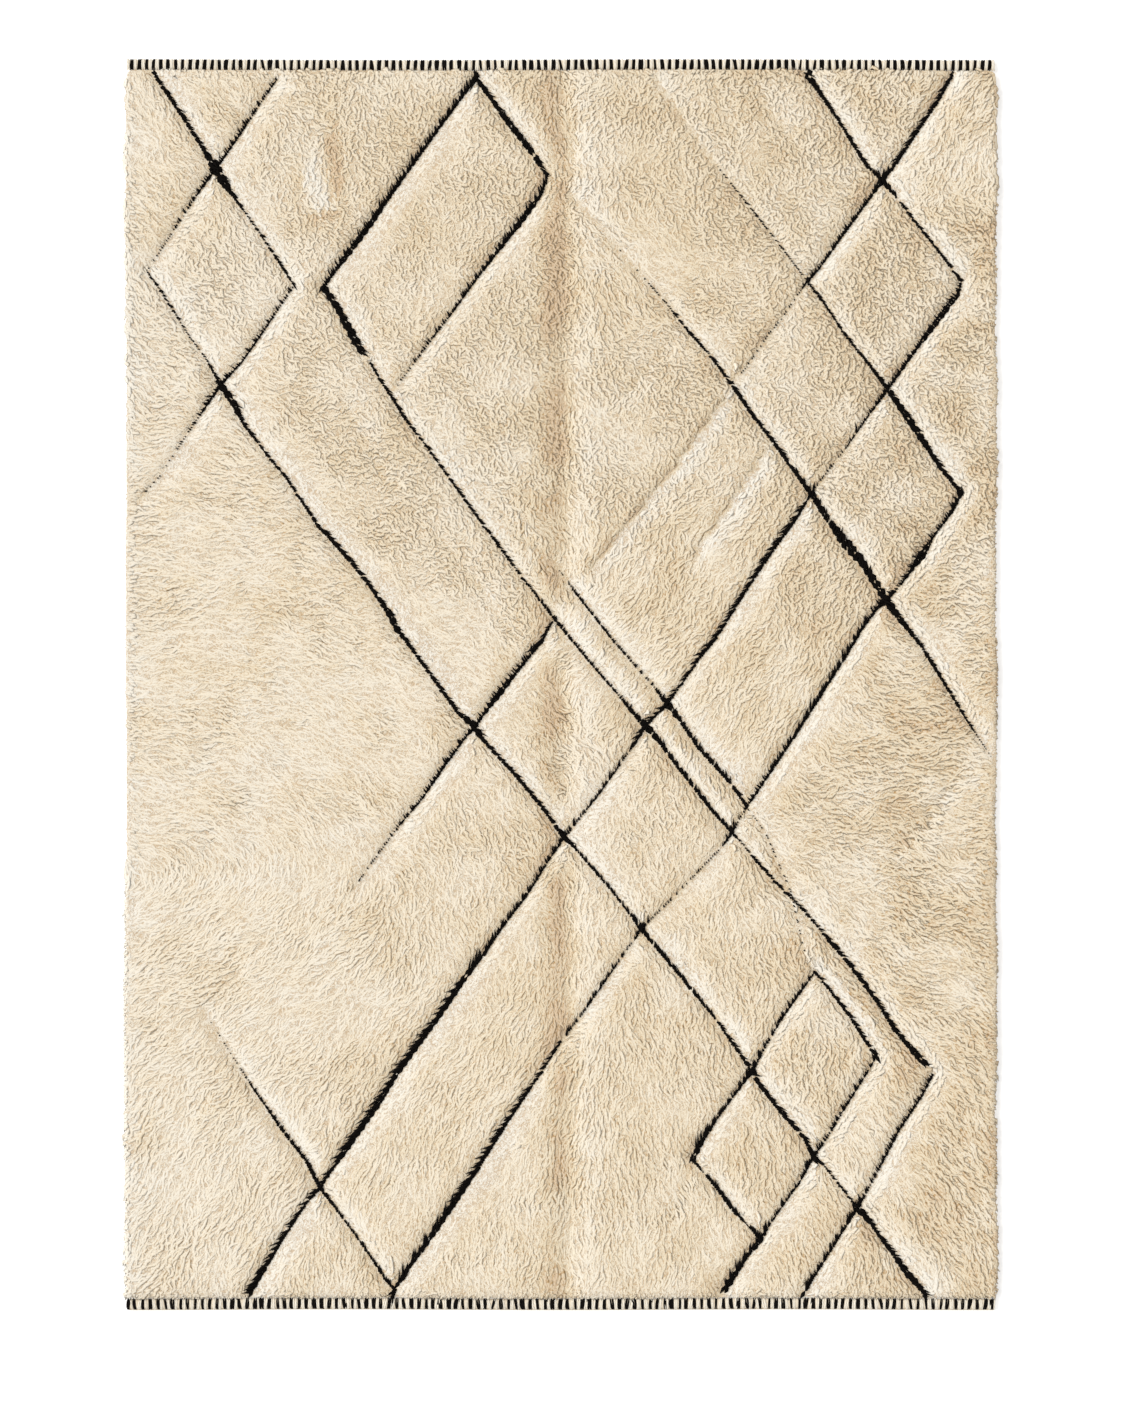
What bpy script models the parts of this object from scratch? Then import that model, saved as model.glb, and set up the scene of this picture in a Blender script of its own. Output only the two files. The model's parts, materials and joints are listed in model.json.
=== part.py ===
"""Hand-knotted wool rug, lying flat.

One thick pile cloth with a soft fold down its middle, and an overcast cord binding along each end.
Metres, +Z up. X runs across the rug and Y along it. The origin is on the floor under its middle.
"""

import math
from collections import namedtuple

import bmesh
import bpy

# Driving sizes
RUG_WIDTH = 1.600  # over the pile, side to side
RUG_LENGTH = 2.285  # over both bindings
PILE_HEIGHT = 0.0195  # floor to the tips of the pile, away from folds and edges
FIT_GAP = 0.0003  # between pieces that touch

# The cloth's edges
SIDE_ROUND = 0.016  # how far in from a long side the pile starts to fall over
END_ROUND = 0.009  # the same at the bindings, where the pile stands steeper
EDGE_SHARE = 0.36  # height of the outermost pile, as a share of the full height
UNDER_INSET = 0.006  # how far the pile overhangs the woven ground at a long side
CORNER_RADIUS = 0.013

# The bindings
BINDING_WIDTH = 1.591  # along X, a little less than the pile
BINDING_DEPTH = 0.0205  # along Y
BINDING_HEIGHT = 0.0125
BINDING_TIP = 0.007  # length over which a binding's end rounds off

# Spacing of the mesh
COLUMN_STEP = 0.052
ROW_STEP = 0.050
BINDING_STEP = 0.040
EDGE_STEPS = 3  # columns or rows that turn the pile over at an edge

# A fold is a soft trough that runs along the rug, with its place at either end.
Fold = namedtuple("Fold", "x_bottom x_top sway half_width depth")
FOLDS = (Fold(x_bottom=0.013, x_top=0.004, sway=0.004, half_width=0.052, depth=0.0038),)
FOLD_STEPS = 3  # extra columns on each side of a fold's middle

# A swell is a broad unevenness of the whole cloth.
Swell = namedtuple("Swell", "waves_x waves_y phase height")
SWELLS = (
    Swell(waves_x=1.3, waves_y=1.7, phase=0.4, height=0.0004),
    Swell(waves_x=-2.1, waves_y=2.6, phase=1.9, height=0.0003),
    Swell(waves_x=3.2, waves_y=0.9, phase=2.7, height=0.0002),
)

# A wave lets an edge wander: a long side along Y, an end along X.
Wave = namedtuple("Wave", "edge waves phase size")
WAVES = (
    Wave(edge="left", waves=3.0, phase=0.3, size=0.0009),
    Wave(edge="left", waves=11.0, phase=1.1, size=0.0005),
    Wave(edge="right", waves=4.5, phase=2.0, size=0.0014),
    Wave(edge="right", waves=13.0, phase=0.7, size=0.0010),
    Wave(edge="top", waves=1.5, phase=0.2, size=0.0008),
    Wave(edge="bottom", waves=2.0, phase=1.6, size=0.0007),
)

# A binding's section: how far out from the cloth, and how high, as shares of its depth and height.
Corner = namedtuple("Corner", "out up")
BINDING_SECTION = (
    Corner(0.00, 0.12),
    Corner(0.00, 0.70),
    Corner(0.16, 0.92),
    Corner(0.46, 1.00),
    Corner(0.78, 0.88),
    Corner(0.96, 0.62),
    Corner(1.00, 0.36),
    Corner(0.90, 0.08),
    Corner(0.78, 0.00),
    Corner(0.10, 0.00),
)
# Each end's binding swells and thins along its length, the bottom one more than the top.
Binding = namedtuple("Binding", "name edge side uneven_waves uneven")
BINDINGS = (
    Binding("end_binding_top", "top", 1, 9.0, 0.03),
    Binding("end_binding_bottom", "bottom", -1, 14.0, 0.06),
)

# Wool colours, linear
CREAM_WOOL = (0.80, 0.70, 0.53, 1.0)
CORD_WOOL = (0.74, 0.66, 0.52, 1.0)

HALF_WIDTH = RUG_WIDTH / 2
HALF_LENGTH = RUG_LENGTH / 2
CLOTH_HALF_LENGTH = HALF_LENGTH - BINDING_DEPTH - FIT_GAP


def clear_scene():
    for old in list(bpy.data.objects):
        bpy.data.objects.remove(old, do_unlink=True)


def wool(name, colour):
    material = bpy.data.materials.new(name)
    material.use_nodes = True
    shader = material.node_tree.nodes["Principled BSDF"]
    shader.inputs["Base Color"].default_value = colour
    shader.inputs["Roughness"].default_value = 0.95
    shader.inputs["Metallic"].default_value = 0.0
    return material


def wander(edge, share):
    """How far an edge lies outside its straight line, at a share of its length from -0.5 to 0.5."""
    turns = (w.size * math.sin(math.tau * w.waves * share + w.phase) for w in WAVES if w.edge == edge)
    return sum(turns)


def fold_middle(fold, y):
    along = y / RUG_LENGTH + 0.5
    straight = fold.x_bottom + (fold.x_top - fold.x_bottom) * along
    return straight + fold.sway * math.sin(math.tau * 1.5 * along)


def pile_top(x, y):
    """Height of the pile at a place away from the edges."""
    height = PILE_HEIGHT
    for fold in FOLDS:
        off = (x - fold_middle(fold, y)) / fold.half_width
        height -= fold.depth * math.exp(-2.5 * off * off)
    for swell in SWELLS:
        turn = swell.waves_x * x / RUG_WIDTH + swell.waves_y * y / RUG_LENGTH
        height += swell.height * math.sin(math.tau * turn + swell.phase)
    return height


def edge_share(inset, reach):
    """The pile's height near an edge, as a share of its full height: a quarter ellipse over the reach."""
    if inset >= reach:
        return 1.0
    run = 1 - inset / reach
    return EDGE_SHARE + (1 - EDGE_SHARE) * math.sqrt(1 - run * run)


def stations(half, reach, step, extra=()):
    """Places from -half to half: closer together where the edge turns over, and at the extra ones."""
    turned = [reach * (1 - math.cos(math.pi / 2 * i / EDGE_STEPS)) for i in range(EDGE_STEPS)]
    flat = half - reach
    count = round(2 * flat / step)
    even = [-flat + 2 * flat * i / count for i in range(count + 1)]
    clear = [place for place in even if all(abs(place - other) > step / 2 for other in extra)]
    places = [-half + inset for inset in turned] + clear + list(extra) + [half - inset for inset in turned]
    return sorted(places)


def rounded_corner(x, y):
    """Pulls a place near a corner of the cloth onto a round corner."""
    over_x = abs(x) - (HALF_WIDTH - CORNER_RADIUS)
    over_y = abs(y) - (CLOTH_HALF_LENGTH - CORNER_RADIUS)
    if min(over_x, over_y) <= 0:
        return x, y
    pull = 1 - max(over_x, over_y) / math.hypot(over_x, over_y)
    return x - math.copysign(over_x * pull, x), y - math.copysign(over_y * pull, y)


def settled(x, y):
    """A place of the flat rectangle, moved to where the cloth lies with its round corners and uneven edges."""
    x, y = rounded_corner(x, y)
    side = "right" if x > 0 else "left"
    end = "top" if y > 0 else "bottom"
    moved_x = x * (1 + wander(side, y / RUG_LENGTH) / HALF_WIDTH)
    moved_y = y * (1 + wander(end, x / RUG_WIDTH) / HALF_LENGTH)
    return moved_x, moved_y


def cloth_mesh():
    """The pile cloth as one closed solid: an uneven top, edges that turn over, and a flat underside."""
    middles = [fold_middle(fold, 0) for fold in FOLDS]
    spread = range(-FOLD_STEPS, FOLD_STEPS + 1)
    beside = [m + f.half_width * i / FOLD_STEPS for m, f in zip(middles, FOLDS) for i in spread]
    columns = stations(HALF_WIDTH, SIDE_ROUND, COLUMN_STEP, beside)
    rows = stations(CLOTH_HALF_LENGTH, END_ROUND, ROW_STEP)
    shape = bmesh.new()
    grid = []
    for y in rows:
        line = []
        for x in columns:
            share = edge_share(HALF_WIDTH - abs(x), SIDE_ROUND)
            share = min(share, edge_share(CLOTH_HALF_LENGTH - abs(y), END_ROUND))
            line.append(shape.verts.new((*settled(x, y), pile_top(x, y) * share)))
        grid.append(line)
    for lower, upper in zip(grid, grid[1:]):
        for i in range(len(columns) - 1):
            shape.faces.new((lower[i], lower[i + 1], upper[i + 1], upper[i]))
    outline = grid[0] + [line[-1] for line in grid[1:-1]] + grid[-1][::-1] + [line[0] for line in grid[-2:0:-1]]
    inward = (HALF_WIDTH - UNDER_INSET) / HALF_WIDTH
    under = [shape.verts.new((v.co.x * inward, v.co.y, 0)) for v in outline]
    for i, corner in enumerate(outline):
        after = (i + 1) % len(outline)
        shape.faces.new((under[i], under[after], outline[after], corner))
    shape.faces.new(under[::-1])
    return shape


def binding_mesh(binding):
    """A binding as one closed solid, a section swept along X. Its inner face is at Y = 0."""
    count = round((BINDING_WIDTH - 2 * BINDING_TIP) / BINDING_STEP)
    flat = BINDING_WIDTH / 2 - BINDING_TIP
    middle = [(-flat + 2 * flat * i / count, 1.0) for i in range(count + 1)]
    tip = [(flat + BINDING_TIP * 0.6, 0.86), (flat + BINDING_TIP, 0.55)]
    sections = [(-x, share) for x, share in tip[::-1]] + middle + tip
    shape = bmesh.new()
    rings = []
    for x, share in sections:
        uneven = 1 + binding.uneven * (math.sin(math.tau * binding.uneven_waves * x / RUG_WIDTH) - 1) / 2
        edge = wander(binding.edge, x / RUG_WIDTH)
        ring = []
        for corner in BINDING_SECTION:
            out = corner.out * BINDING_DEPTH * share * uneven
            up = corner.up * BINDING_HEIGHT * share * uneven
            ring.append(shape.verts.new((x, binding.side * (edge + out), up)))
        rings.append(ring)
    for ring, following in zip(rings, rings[1:]):
        for i in range(len(ring)):
            after = (i + 1) % len(ring)
            shape.faces.new((ring[i], ring[after], following[after], following[i]))
    shape.faces.new(rings[0])
    shape.faces.new(rings[-1][::-1])
    return shape


def add_piece(name, shape, material, parent, y=0.0):
    bmesh.ops.recalc_face_normals(shape, faces=shape.faces)
    mesh = bpy.data.meshes.new(name)
    shape.to_mesh(mesh)
    shape.free()
    mesh.shade_smooth()
    mesh.set_sharp_from_angle(angle=math.radians(50))
    mesh.materials.append(material)
    piece = bpy.data.objects.new(name, mesh)
    piece.location.y = y
    piece.parent = parent
    bpy.context.scene.collection.objects.link(piece)
    return piece


def main():
    clear_scene()
    rug = bpy.data.objects.new("rug", None)
    bpy.context.scene.collection.objects.link(rug)
    add_piece("rug_pile", cloth_mesh(), wool("cream_wool", CREAM_WOOL), rug)
    cord = wool("binding_wool", CORD_WOOL)
    for binding in BINDINGS:
        place = binding.side * (HALF_LENGTH - BINDING_DEPTH)
        add_piece(binding.name, binding_mesh(binding), cord, rug, place)


main()
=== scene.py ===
import json
import math

import bpy
import numpy as np
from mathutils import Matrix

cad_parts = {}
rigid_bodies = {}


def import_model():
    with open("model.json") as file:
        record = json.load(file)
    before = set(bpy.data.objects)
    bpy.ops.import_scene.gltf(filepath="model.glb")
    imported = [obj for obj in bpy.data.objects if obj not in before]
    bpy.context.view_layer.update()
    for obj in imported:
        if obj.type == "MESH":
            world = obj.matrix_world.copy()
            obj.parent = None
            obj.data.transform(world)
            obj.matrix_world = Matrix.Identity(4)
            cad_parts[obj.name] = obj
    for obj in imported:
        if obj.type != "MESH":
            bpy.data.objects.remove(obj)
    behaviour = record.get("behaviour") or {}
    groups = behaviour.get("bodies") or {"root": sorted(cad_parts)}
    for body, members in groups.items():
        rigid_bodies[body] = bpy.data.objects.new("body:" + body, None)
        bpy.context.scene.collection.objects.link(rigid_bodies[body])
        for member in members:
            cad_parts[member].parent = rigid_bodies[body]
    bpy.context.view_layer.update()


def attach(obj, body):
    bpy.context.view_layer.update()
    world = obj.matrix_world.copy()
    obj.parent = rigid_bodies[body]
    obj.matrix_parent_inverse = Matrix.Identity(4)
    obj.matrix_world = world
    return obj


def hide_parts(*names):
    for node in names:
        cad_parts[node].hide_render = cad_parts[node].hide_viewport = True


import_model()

mm = 0.001


class Wire:
    # one socket of a node tree: sums of wires add Math nodes, and node() adds any other node
    def __init__(self, tree, socket=None):
        self.tree = tree
        self.socket = socket

    def node(self, kind, settings=None, inputs=None, output=0):
        made = self.tree.nodes.new(kind)
        for name, value in (settings or {}).items():
            if name == "stops":
                setStops(made.color_ramp, value)
            else:
                setattr(made, name, value)
        for name, value in (inputs or {}).items():
            if isinstance(value, Wire):
                self.tree.links.new(value.socket, made.inputs[name])
            else:
                made.inputs[name].default_value = value
        return Wire(self.tree, made.outputs[output])

    def maths(self, operation, *values):
        return self.node("ShaderNodeMath", {"operation": operation}, dict(enumerate(values)))

    def vector(self, operation, *values):
        return self.node("ShaderNodeVectorMath", {"operation": operation}, dict(enumerate(values)))

    def __abs__(self):
        return self.maths("ABSOLUTE", self)

    def __add__(self, other):
        return self.maths("ADD", self, other)

    def __sub__(self, other):
        return self.maths("SUBTRACT", self, other)

    def __rsub__(self, other):
        return self.maths("SUBTRACT", other, self)

    def __mul__(self, other):
        return self.maths("MULTIPLY", self, other)

    __radd__ = __add__
    __rmul__ = __mul__


def setStops(ramp, stops):
    while len(ramp.elements) < len(stops):
        ramp.elements.new(1.0)
    for element, (place, colour) in zip(ramp.elements, stops):
        element.position = place
        element.color = (*colour, 1.0)


def mixed(share, first, second):
    # a share below 0 counts as 0, and one over 1 as 1
    inputs = {"Factor": share, 6: first, 7: second}
    return share.node("ShaderNodeMix", {"data_type": "RGBA"}, inputs, 2)


def setInputs(node, values):
    for name, value in values.items():
        node.inputs[name].default_value = value


def woolMaterial(name, build, sheen=0.0, specular=0.15):
    # build gets a starting wire and returns the colour, the relief's height in metres,
    # its strength and a normal
    material = bpy.data.materials.new(name)
    material.use_nodes = True
    tree = material.node_tree
    shader = tree.nodes["Principled BSDF"]
    setInputs(shader, {
        "Roughness": wool["roughness"],
        "Specular IOR Level": specular,
        "Sheen Weight": sheen,
        "Sheen Roughness": wool["sheenRoughness"],
    })
    colour, relief, strength, normal = build(Wire(tree))
    tree.links.new(colour.socket, shader.inputs["Base Color"])
    inputs = {"Height": relief, "Distance": 1.0, "Strength": strength}
    if normal:
        inputs["Normal"] = normal
    bump = relief.node("ShaderNodeBump", None, inputs)
    tree.links.new(bump.socket, shader.inputs["Normal"])
    return material


# the cloth's form
rug = {
    "width": 1.600,
    "length": 2.285,
    "pileTop": 19.5 * mm,
    "bindingDepth": 20.5 * mm,
    "gap": 0.3 * mm,
    "sideRound": 9 * mm,  # how far in from a long side the pile starts to fall over
    "endRound": 6 * mm,
    "edgeShare": 0.55,
    "endShare": 0.74,
    "underInset": 6 * mm,  # how far the pile overhangs the woven ground
    "cornerRadius": 13 * mm,
    "foldBottom": 13 * mm,  # place of the lengthwise fold across the rug at either end
    "foldTop": 4 * mm,
    "foldSway": 4 * mm,
    "foldWaves": 1.5,
    "foldHalfWidth": 52 * mm,
    "foldSharpness": 2.5,
    "foldDepth": 3.8 * mm,
}
# waves along and across, phase, height
swells = [(1.3, 1.7, 0.4, 0.4 * mm), (-2.1, 2.6, 1.9, 0.3 * mm), (3.2, 0.9, 2.7, 0.2 * mm)]
# waves along the edge, phase, size
edgeWaves = {
    "left": [(3.0, 0.3, 0.9 * mm), (11.0, 1.1, 0.5 * mm)],
    "right": [(4.5, 2.0, 1.4 * mm), (13.0, 0.7, 1.0 * mm)],
    "top": [(1.5, 0.2, 0.8 * mm)],
    "bottom": [(2.0, 1.6, 0.7 * mm)],
}
halfWidth = rug["width"] / 2
halfCloth = rug["length"] / 2 - rug["bindingDepth"] - rug["gap"]


def wander(edge, share):
    return sum(size * np.sin(math.tau * waves * share + phase) for waves, phase, size in edgeWaves[edge])


def foldMiddle(y):
    along = y / rug["length"] + 0.5
    straight = rug["foldBottom"] + (rug["foldTop"] - rug["foldBottom"]) * along
    return straight + rug["foldSway"] * np.sin(math.tau * rug["foldWaves"] * along)


def edgeFall(inset, reach, least):
    run = np.clip(1 - inset / reach, 0, 1)
    return least + (1 - least) * np.sqrt(1 - run * run)


noiseCells = 64


def softNoise(x, y, size, seed):
    # smooth unevenness from -1 to 1, with bumps about as wide as size
    cells = np.random.default_rng(seed).uniform(-1, 1, (noiseCells, noiseCells))
    column = np.floor(x / size).astype(int)
    row = np.floor(y / size).astype(int)
    right = x / size - column
    up = y / size - row
    right = right * right * (3 - 2 * right)
    up = up * up * (3 - 2 * up)

    def across(row):
        left = cells[column % noiseCells, row % noiseCells] * (1 - right)
        return left + cells[(column + 1) % noiseCells, row % noiseCells] * right

    return across(row) * (1 - up) + across(row + 1) * up


def cloud(x, y, change, size, seed):
    return change * softNoise(x, y, size, seed)


def hump(place, middle, reach):
    return np.exp(-((place - middle) / reach) ** 2)


# the lattice as charted: x, y and the line's width, in mm from the rug's middle. A line narrower
# than knot["sparse"] has gaps between its knots, and one of 0 is only a furrow in the pile
lattice = {
    "left shoulder": [
        (-746, 1124, 11), (-743, 1114, 9), (-690, 1035, 9), (-655, 980, 10), (-633, 945, 22),
        (-615, 915, 14), (-600, 893, 6), (-580, 865, 4.2), (-545, 815, 4.5), (-515, 770, 5.4),
        (-489, 730, 4),
    ],
    "left cross": [
        (-522, 1106, 4.8), (-550, 1065, 4.6), (-580, 1020, 7), (-600, 990, 6), (-633, 945, 10),
        (-665, 900, 6), (-690, 860, 4), (-758, 756, 2.4),
    ],
    "left kite, left side": [
        (-758, 756, 4.5), (-730, 715, 4.6), (-680, 635, 3.3), (-650, 595, 3.4), (-624, 549, 10),
    ],
    "left kite, right side": [
        (-489, 730, 4.5), (-550, 640, 6), (-585, 590, 4.8), (-624, 549, 10), (-660, 495, 5),
        (-690, 450, 3), (-735, 380, 2), (-774, 335, 0),
    ],
    "long line": [
        (-624, 549, 14), (-600, 515, 13), (-580, 475, 8), (-550, 435, 5), (-535, 415, 6), (-505, 380, 6),
        (-475, 335, 6.5), (-445, 290, 9), (-420, 265, 11), (-385, 225, 10), (-350, 180, 8),
        (-315, 130, 14), (-300, 100, 12), (-285, 80, 8), (-230, 5, 7.8), (-190, -50, 10),
        (-160, -75, 16), (-145, -100, 8), (-80, -170, 9), (-35, -225, 8), (5, -280, 11), (25, -300, 5.5),
        (90, -375, 5.2), (125, -420, 4), (145, -445, 11), (165, -470, 8), (195, -505, 9), (240, -560, 8),
        (285, -615, 6), (330, -680, 9), (350, -708, 13), (365, -735, 10), (405, -785, 11),
        (445, -830, 9), (462, -864, 12),
    ],
    "long line, foot": [
        (462, -864, 9), (480, -880, 4), (505, -912, 4), (530, -943, 5), (542, -957, 16), (565, -985, 9),
        (610, -1045, 12), (635, -1080, 14), (662, -1110, 11), (668, -1124, 4),
    ],
    "peak, left": [
        (-156, 1123, 10), (-158, 1109, 9), (-220, 1025, 9), (-300, 915, 11.5), (-360, 830, 13),
        (-436, 729, 11),
    ],
    "peak, right": [(-156, 1123, 8), (-153, 1109, 11), (-105, 1040, 12), (-50, 970, 12), (-26, 932, 7)],
    "peak, return": [
        (-26, 924, 5), (-40, 895, 12), (-80, 840, 12), (-150, 750, 6.5), (-200, 680, 5), (-235, 635, 6),
        (-304, 540, 2),
    ],
    "second line, head": [(-436, 729, 14), (-410, 690, 14), (-380, 635, 18), (-366, 611, 12)],
    "second line": [
        (-350, 590, 5), (-330, 555, 6.5), (-306, 520, 7), (-285, 485, 6.5), (-250, 440, 5),
        (-174, 335, 6), (-145, 295, 6), (-90, 220, 5.4), (-40, 155, 4.6), (-13, 121, 8), (20, 80, 5.8),
        (70, 20, 6), (105, -20, 5.4), (130, -50, 11), (154, -75, 15), (180, -105, 10), (225, -165, 10),
        (280, -235, 8), (313, -271, 8), (332, -293, 2.4), (350, -315, 6), (390, -360, 5.8),
        (440, -410, 5.6), (475, -450, 5.2), (492, -470, 10), (530, -515, 9), (560, -555, 10),
        (585, -590, 10), (610, -630, 11), (635, -660, 12), (663, -692, 14),
    ],
    "right tip": [
        (680, -716, 8), (660, -755, 6), (620, -815, 7), (590, -872, 6.5), (560, -930, 5),
        (542, -957, 13), (517, -1000, 5), (490, -1043, 6.5), (460, -1090, 6.5), (445, -1113, 12),
    ],
    "faint line": [
        (-15, 223, 0), (10, 190, 2), (23, 172, 5.4), (95, 80, 6), (170, -5, 4.4), (194, -35, 15),
        (215, -62, 9), (250, -113, 11), (310, -180, 10), (335, -217, 6), (345, -232, 0.8),
        (375, -275, 2), (420, -380, 2.5), (445, -490, 1), (461, -527, 0),
    ],
    "from second to long": [
        (-13, 121, 4), (-35, 80, 8), (-105, -5, 13), (-150, -65, 10), (-159, -77, 15), (-170, -90, 6),
        (-215, -150, 9), (-255, -210, 6), (-295, -257, 5), (-330, -305, 3), (-380, -375, 1),
    ],
    "long slant": [
        (458, 350, 8), (430, 305, 10), (380, 235, 8), (350, 190, 7), (280, 80, 7.4), (255, 50, 5.8),
        (220, 0, 5), (194, -35, 10), (180, -50, 6), (154, -75, 12), (138, -105, 3.6), (70, -200, 5),
        (35, -245, 4), (6, -280, 8), (-20, -318, 5.4), (-62, -385, 5.6), (-108, -445, 6.4),
        (-143, -495, 10.5), (-176, -535, 13), (-223, -605, 12.5), (-300, -710, 12), (-339, -772, 13.5),
        (-395, -850, 15), (-415, -882, 6), (-442, -921, 11), (-465, -948, 5.5), (-511, -1015, 10),
        (-568, -1108, 14),
    ],
    "right slant": [
        (595, 156, 14), (583, 145, 10.5), (555, 108, 8), (520, 50, 8), (450, -60, 7.2), (400, -135, 8.6),
        (341, -223, 7), (327, -248, 2.6), (313, -271, 8), (292, -302, 2.6), (194, -403, 3),
        (165, -431, 2.6), (146, -449, 9), (135, -467, 2.6), (90, -530, 4.7), (35, -610, 4),
        (0, -654, 4.6), (-36, -710, 5), (-100, -802, 10.5), (-161, -897, 12), (-223, -988, 12.6),
        (-291, -1084, 11), (-305, -1106, 12), (-308, -1123, 4),
    ],
    "corner, down": [
        (449, 1124, 20), (455, 1112, 13), (500, 1045, 6.4), (535, 990, 9.4), (560, 950, 8),
        (570, 940, 6), (588, 925, 13), (612, 895, 6), (650, 845, 6), (690, 795, 6), (733, 738, 7),
    ],
    "corner, slant": [
        (717, 1123, 9), (714, 1112, 8), (690, 1070, 9.5), (650, 1010, 8.6), (610, 950, 8.6),
        (588, 925, 13), (565, 890, 7), (520, 830, 9), (475, 765, 6), (450, 738, 12),
    ],
    "corner, faint foot": [
        (450, 738, 6), (440, 722, 3), (405, 670, 2), (380, 640, 3), (340, 580, 2), (313, 549, 2),
    ],
    "right kite, right side": [
        (733, 738, 6), (727, 718, 13.5), (695, 675, 13.4), (650, 615, 11), (615, 565, 9), (598, 542, 11),
        (565, 495, 4.4), (520, 430, 3.4), (458, 350, 3),
    ],
    "right kite, left side": [
        (450, 738, 5), (480, 700, 5), (520, 640, 5.5), (560, 590, 6), (598, 542, 12), (630, 495, 15),
        (660, 450, 13), (700, 390, 9), (733, 350, 8),
    ],
    "right kite, foot": [
        (733, 350, 11), (712, 312, 10), (685, 275, 5), (665, 245, 18), (645, 215, 10), (620, 180, 5),
        (595, 156, 17),
    ],
    "faint dots": [
        (178, 1100, 0), (278, 958, 0), (300, 930, 3), (320, 905, 3.6), (380, 830, 3.6), (450, 738, 3),
    ],
    "second slant": [
        (18, 899, 0), (85, 820, 0), (154, 740, 2.4), (190, 700, 3), (234, 645, 5.8), (270, 605, 4.4),
        (313, 549, 9), (345, 500, 7), (390, 443, 10), (420, 400, 8), (458, 350, 12.5), (490, 300, 13),
        (520, 260, 22), (550, 225, 15), (595, 156, 17), (620, 120, 12), (660, 70, 9), (700, 5, 8),
        (743, -66, 5), (796, -148, 0),
    ],
    "right crease": [(302, 522, 0), (214, 401, 0), (60, 214, 0)],
    "outer crease": [(373, 419, 0), (308, 322, 0), (247, 242, 0)],
    "inner kite, right": [
        (463, -525, 7), (480, -545, 6), (530, -609, 8), (556, -650, 9), (577, -682, 7), (558, -715, 5),
        (517, -780, 6.5), (484, -836, 5), (462, -864, 10), (438, -910, 5), (406, -955, 5),
        (380, -993, 4.4), (366, -1014, 14), (340, -1049, 8), (315, -1085, 14), (296, -1113, 16),
    ],
    "inner kite, left": [
        (463, -530, 4), (443, -557, 5.6), (406, -609, 6.5), (376, -660, 4.4), (350, -708, 10),
        (315, -755, 6), (286, -795, 5.6), (255, -840, 13), (241, -868, 12.5), (252, -884, 5),
        (262, -896, 3.4), (286, -923, 9), (315, -962, 11), (340, -990, 2.6), (366, -1014, 13),
    ],
    "bottom left": [
        (-657, -595, 0), (-605, -677, 3), (-568, -734, 4.6), (-511, -816, 8.2), (-467, -873, 9.2),
        (-442, -921, 10), (-415, -957, 5.6), (-368, -1021, 4.4), (-319, -1093, 7.5), (-307, -1106, 9),
    ],
}
# furrows with no black in them: depth, softness and places, in mm
furrows = [
    (2.0, 16, [(70, 1060), (33, 1025), (13, 908)]),
    (1.6, 12, [(355, 1091), (438, 978)]),
    (1.6, 12, [(209, 633), (126, 535)]),
    (1.6, 12, [(60, 754), (126, 685)]),
    (4.2, 7, [(302, 522), (214, 401), (60, 214)]),
    (3.6, 7, [(373, 419), (308, 322), (247, 242)]),
    (1.8, 10, [(-216, 434), (-15, 223)]),
    (2.0, 12, [(-225, 275), (-139, 167), (-84, 88)]),
    (1.8, 12, [(-395, 513), (-320, 382), (-298, 355)]),
    (1.4, 14, [(362, -395), (460, -516)]),
    (1.8, 12, [(243, -875), (211, -972)]),
    (2.0, 14, [(721, -194), (613, -317)]),
]
furrow = {
    "depth": 5.8 * mm,  # of a full line
    "leastDepth": 2.6 * mm,
    "fullWidth": 7 * mm,
    "softness": 8 * mm,  # how fast the pile rises again at its left, where it leans over the line
    "softnessRight": 15 * mm,  # the same at its right, where it leans away
    "foldDepth": 1.6 * mm,  # of the crease in the lengthwise fold
    "foldSoftness": 15 * mm,
}


def segmentsOf(places):
    # a line's pieces between its places, in metres, with the width left in mm
    ends = [np.array([x / 1000, y / 1000, *width]) for x, y, *width in places]
    return list(zip(ends, ends[1:]))


lineSegments = [segment for places in lattice.values() for segment in segmentsOf(places)]
creases = [(deep, soft, *ends) for deep, soft, places in furrows for ends in segmentsOf(places)]


def nearSegment(x, y, start, end):
    # share along the segment of the nearest place, and the vector to it
    way = end[:2] - start[:2]
    share = ((x - start[0]) * way[0] + (y - start[1]) * way[1]) / (way @ way)
    share = np.clip(share, 0, 1)
    return share, start[0] + way[0] * share - x, start[1] + way[1] * share - y


def nearestLine(x, y):
    # distance to the edge of the nearest line, the way to it, and the line's width there
    best = np.full(x.shape, 9.0)
    wayX = np.zeros(x.shape)
    wayY = np.zeros(x.shape)
    width = np.zeros(x.shape)
    for start, end in lineSegments:
        share, toX, toY = nearSegment(x, y, start, end)
        wide = (start[2] + (end[2] - start[2]) * share) * mm
        off = np.hypot(toX, toY)
        nearer = off - wide / 2 < best
        best = np.where(nearer, off - wide / 2, best)
        wayX = np.where(nearer, toX / np.maximum(off, 1e-6), wayX)
        wayY = np.where(nearer, toY / np.maximum(off, 1e-6), wayY)
        width = np.where(nearer, wide, width)
    return best, wayX, wayY, width


def fullness(width, least=0):
    # 1 for a full line or a wider one, and less for a thin one
    return np.clip(width / furrow["fullWidth"], least, 1)


def rightOf(wayX):
    # 1 where the line lies at this place's left, and 0 where it lies at its right
    return np.clip(0.5 - wayX, 0, 1)


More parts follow.
